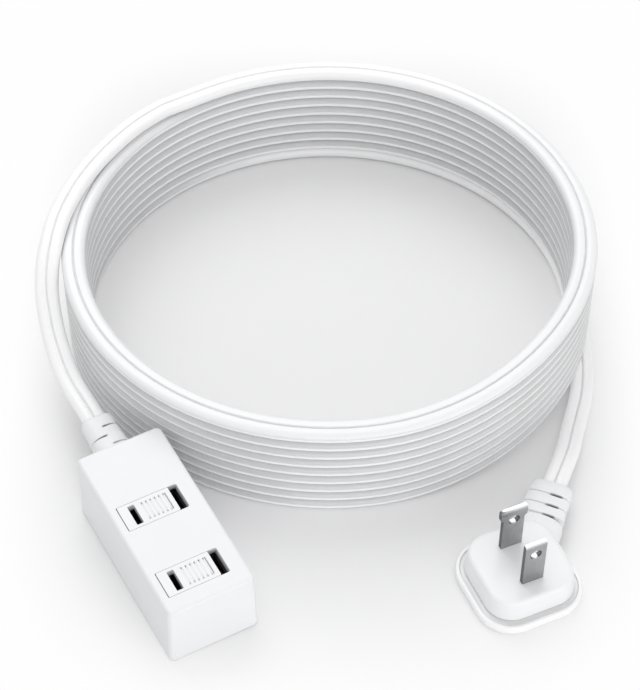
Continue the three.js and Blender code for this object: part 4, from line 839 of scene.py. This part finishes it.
class MakePlugRelief(bpy.types.Operator):
    """Moulds the plug's ribbed strain relief along the diagonal"""
    bl_idname = "extension_cord.plug_relief"
    bl_label = "Plug Strain Relief"

    def execute(self, context):
        start, tip = NECK_END + 0.12, SLEEVE_TIP
        slits = (start + 0.3, *SLEEVE_SLITS)
        fine = [np.linspace(max(slit - 0.45, start), slit + 0.45, 33) for slit in slits]
        at = np.unique(np.concatenate([np.linspace(start, tip, 60), *fine]))
        keys = (start, start + 4, tip - 2.3, tip - 1.2, tip - 0.6, tip - 0.2, tip)
        wide = np.interp(at, keys, (6.85, 6.4, 6.05, 5.9, 5.6, 5.1, 4.4))
        top = np.interp(at, keys, (8.3, 7.95, 7.45, 7.3, 7.1, 6.9, 6.6))
        low = np.interp(at, keys, (3.3, 2.7, 1.7, 1.7, 2.0, 2.3, 2.7))
        groove, hollow = (sum(np.exp(-(((at - s) / reach) ** 6)) for s in slits) for reach in (0.21, 0.4))
        sections, painted_shade = [], []
        for y, half, high, bottom, cut, wider in zip(at, wide, top, low, groove, hollow):
            outline = superellipse(half - 0.4 * cut, (high - bottom) / 2 - 0.4 * cut, 3.2, 144)
            notch = wider * np.exp(-(((outline[:, 0] + 2.05) / 1.75) ** 10)) * (outline[:, 1] > 0)
            outline[:, 1] -= 0.9 * notch
            sections.append((y, (high + bottom) / 2, outline))
            # Painted shade in the slits and in the notch.
            painted_shade.append(0.14 * cut + 0.84 * notch)
        relief = skinned("plug_boot", from_diagonal(along_y(sections)))
        shaded(relief, lambda points: np.concatenate(painted_shade))
        placed(relief, "white_pvc", "strain relief vinyl", "plug_strain_relief")
        return {"FINISHED"}


def blade_outline(tip, extra):
    """The blade's outline in (x, z), anticlockwise; its tip stands out by extra on both sides."""
    half, cut = BLADE_WIDTH / 2, 0.3
    wide = half + extra
    right = [(half, BLADE_FOOT), (wide, tip - cut), (wide - cut * 0.3, tip - cut * 0.3), (wide - cut, tip)]
    if extra > 0:
        right[1:1] = [(half, tip - WIDE_TIP[1] - extra), (wide, tip - WIDE_TIP[1])]
    return np.array(right + [(-x, z) for x, z in reversed(right)])


class MakeBlades(bpy.types.Operator):
    """Stamps the two plated blades, the far one with its wide tip"""
    bl_idname = "extension_cord.blades"
    bl_label = "Blades"

    def execute(self, context):
        for name, y, extra in zip(("neutral", "line"), BLADE_YS, (WIDE_TIP[0], 0.0)):
            blade = skinned(f"{name}_blade", self.rings(extra), wrap=True)
            combined(blade, [self.bevelled(side) for side in (1, -1)])
            softened(blade, 0.06, 2, 25.0)
            shaded(blade, self.painted_side_shade)
            shaded(blade, self.painted_tip_highlight, "painted_brightness")
            blade.data.transform(Matrix.Translation((0.0, y * MM, 0.0)))
            move_points(blade, from_plug)
            placed(blade, "nickel", "blade nickel", f"blade_{name}")
        return {"FINISHED"}

    def bevelled(self, side):
        """A wedge that thins one face towards the tip."""
        low, high, half = BLADE_TIP - BLADE_BEVEL, BLADE_TIP + BLADE_BEVEL, BLADE_THICKNESS / 2
        wedge = [(half, low), (half + OVER, low), (half + OVER, high), (half - 2 * BLADE_THINNED, high)]
        return np.array([[(x, side * y, z) for y, z in wedge] for x in (-6.0, 6.0)])

    def in_bore(self, points):
        """Whether points lie on the hole's wall."""
        return np.hypot(points[:, 0], points[:, 2] - BLADE_HOLE_Z) < BLADE_HOLE_RADIUS + 0.03

    def painted_side_shade(self, points):
        """Painted shade on one narrow side and on the sides of the hole's wall."""
        x, y, _ = points.T
        side = (x < -BLADE_WIDTH / 2 + NEAR) & (np.abs(y) < BLADE_THICKNESS / 2 - NEAR)
        return 0.8 * (side | (self.in_bore(points) & (np.abs(x) > 0.8)))

    def painted_tip_highlight(self, points):
        """Painted highlight on the bevels of the tip and on the lower wall of the hole."""
        z = points[:, 2]
        low = self.in_bore(points) & (z < BLADE_HOLE_Z - 0.5)
        return np.where(low, 0.9, smoothstep((z - BLADE_TIP + BLADE_BEVEL) / 0.06))

    def rings(self, extra):
        """A ring of the outline and one of the hole on each face, seen from the hole's centre."""
        centre = np.array([0.0, BLADE_HOLE_Z])
        corners = blade_outline(BLADE_TIP, extra)
        edges = np.roll(corners, -1, 0) - corners
        counts = np.maximum(2, (np.linalg.norm(edges, axis=1) / 0.9).astype(int))
        rim = np.concatenate([a + e * np.linspace(0, 1, n, endpoint=False)[:, None]
                              for a, e, n in zip(corners, edges, counts)])
        away = np.unwrap(np.arctan2(*(rim - centre).T[::-1]))
        even = away[0] + np.linspace(0, 2 * np.pi, len(rim), endpoint=False)
        angle = even * 0.5 + away * 0.5
        hole = centre + BLADE_HOLE_RADIUS * np.stack([np.cos(angle), np.sin(angle)], -1)
        ring = lambda flat, y: np.insert(flat, 1, y, axis=1)
        half = BLADE_THICKNESS / 2
        return np.array([ring(hole, half), ring(rim, half), ring(rim, -half), ring(hole, -half)])


# ---- Stage ----
def camera_or_gloss(tree):
    """1 for a ray from the camera or off a glossy surface, else 0."""
    rays = tree.nodes.new("ShaderNodeLightPath")
    return joined(tree, "MAXIMUM", rays.outputs["Is Camera Ray"], rays.outputs["Is Glossy Ray"])


def mixed_to_output(tree, share, first, second, output):
    """Leads the mix of two shaders to the output."""
    mix = added(tree, "MixShader", {0: share, 1: first.outputs[0], 2: second.outputs[0]})
    tree.links.new(mix.outputs[0], tree.nodes[output].inputs["Surface"])


class MakeStage(bpy.types.Operator):
    """Sets the pale floor, the even sky, the two softboxes and the camera"""
    bl_idname = "extension_cord.stage"
    bl_label = "Stage"

    def execute(self, context):
        scene, settings = context.scene, context.scene.cord_stage
        self.floor(tuple(settings.floor_color), settings.floor_white)
        self.sky(scene, settings.sky_low, settings.sky_high)
        self.softbox("softbox", settings.key_power, KEY_SIZE, KEY_PLACE)
        self.softbox("front softbox", settings.front_power, FRONT_SIZE, FRONT_PLACE)
        self.camera(scene, settings)
        scene.view_settings.view_transform = "Standard"
        return {"FINISHED"}

    def floor(self, color, white):
        """A matt paper floor; the camera and gloss see it paling to plain white away from the object, by
        sqrt(x^4 + y^4) over the object's half lengths."""
        mesh = bpy.data.meshes.new("floor")
        reach = FLOOR_REACH * MM
        corners = [(-reach, -reach, 0.0), (reach, -reach, 0.0), (reach, reach, 0.0), (-reach, reach, 0.0)]
        mesh.from_pydata(corners, [], [(0, 1, 2, 3)])
        material, tree, shader = tree_of("floor paper", color, {"Roughness": 0.7, "Specular IOR Level": 0.15})
        place = added(tree, "TexCoord").outputs["Object"]
        tone = mottled(tree, noise_of(tree, place, 6.0, 2.0), color, 0.997)
        tree.links.new(tone, shader.inputs["Base Color"])
        inputs = {"Vector": place, "Location": from_laid(FADE_CENTRE) * MM, "Rotation": (0.0, 0.0, LAID_TURN),
                  "Scale": (*(half * MM for half in FADE_HALVES), 1.0)}
        around = added(tree, "Mapping", inputs, vector_type="TEXTURE").outputs[0]
        squares = added(tree, "VectorMath", {0: around, 1: around}, operation="MULTIPLY").outputs["Vector"]
        away = added(tree, "VectorMath", {0: squares}, operation="LENGTH").outputs["Value"]
        share = spread_of(tree, away, FADE_START, FADE_END, 0.0, white, interpolation_type="SMOOTHSTEP")
        seen = joined(tree, "MULTIPLY", share, camera_or_gloss(tree))
        paper = added(tree, "Emission", {"Color": WHITE})
        mixed_to_output(tree, seen, shader, paper, "Material Output")
        mesh.materials.append(material)
        linked("floor", mesh)

    def sky(self, scene, low, high):
        """A sky that brightens from the horizon up, by the sine of the height; camera and gloss see white."""
        scene.world = bpy.data.worlds.new("studio")
        scene.world.use_nodes = True
        tree = scene.world.node_tree
        light = tree.nodes["Background"]
        light.inputs["Color"].default_value = WHITE
        heading = added(tree, "SeparateXYZ", {0: added(tree, "TexCoord").outputs["Generated"]})
        strength = spread_of(tree, heading.outputs["Z"], 0.0, 1.0, low, high)
        tree.links.new(strength, light.inputs["Strength"])
        seen = added(tree, "Background", {"Color": WHITE})
        mixed_to_output(tree, camera_or_gloss(tree), light, seen, "World Output")

    def softbox(self, name, power, size, place):
        """A rectangular lamp, its size in metres, that faces the object from a place in mm."""
        lamp = bpy.data.lights.new(name, "AREA")
        lamp.shape, lamp.energy = "RECTANGLE", power
        lamp.size, lamp.size_y = size
        box = linked(name, lamp)
        box.location = Vector(from_laid(place)) * MM
        aim = Vector(from_laid(LAMP_AIM)) * MM
        box.rotation_euler = (aim - box.location).to_track_quat("-Z", "Y").to_euler()

    def camera(self, scene, settings):
        """The camera looks along the laid cord's +Y and down at its aim on the floor."""
        lens = bpy.data.cameras.new("camera")
        lens.sensor_fit, lens.sensor_width, lens.lens = "HORIZONTAL", 36.0, settings.camera_lens
        lens.clip_start, lens.clip_end = 0.05, 20.0
        camera = linked("camera", lens)
        down = math.radians(CAMERA_DOWN)
        level = math.cos(down)
        forward = Vector((-math.sin(LAID_TURN) * level, math.cos(LAID_TURN) * level, -math.sin(down)))
        camera.location = Vector(from_laid(CAMERA_AIM) * MM) - settings.camera_distance * forward
        camera.rotation_euler = forward.to_track_quat("-Z", "Y").to_euler()
        scene.camera = camera


class CordPanel(bpy.types.Panel):
    """Sizes, finishes and pieces of the extension cord"""
    bl_idname = "VIEW3D_PT_extension_cord"
    bl_label = "Extension Cord"
    bl_space_type = "VIEW_3D"
    bl_region_type = "UI"
    bl_category = "Extension Cord"

    def draw(self, context):
        for group in (context.scene.cord_sizes, context.scene.cord_finishes, context.scene.cord_stage):
            box = self.layout.box()
            for key in group.bl_rna.properties.keys():
                if key not in ("rna_type", "name"):
                    box.prop(group, key)
        for operator in OPERATORS:
            self.layout.operator(operator.bl_idname)


OPERATORS = (MakeStage, MakeTapRelief, MakePlugHousing, MakePlugRelief, MakeBlades, FinishInside, MakeCord,
             MakeTapShell, MakeShutters)
GROUPS = (("cord_sizes", CordSizes), ("cord_finishes", CordFinishes), ("cord_stage", StageSettings))


def register():
    for name, group in GROUPS:
        bpy.utils.register_class(group)
        setattr(bpy.types.Scene, name, bpy.props.PointerProperty(type=group))
    for item in (*OPERATORS, CordPanel):
        bpy.utils.register_class(item)


def unregister():
    for item in reversed((*OPERATORS, CordPanel)):
        bpy.utils.unregister_class(item)
    for name, group in reversed(GROUPS):
        delattr(bpy.types.Scene, name)
        bpy.utils.unregister_class(group)


def main():
    """Makes every piece in order."""
    register()
    for operator in OPERATORS:
        group, name = operator.bl_idname.split(".")
        getattr(getattr(bpy.ops, group), name)()


if __name__ == "__main__":
    main()
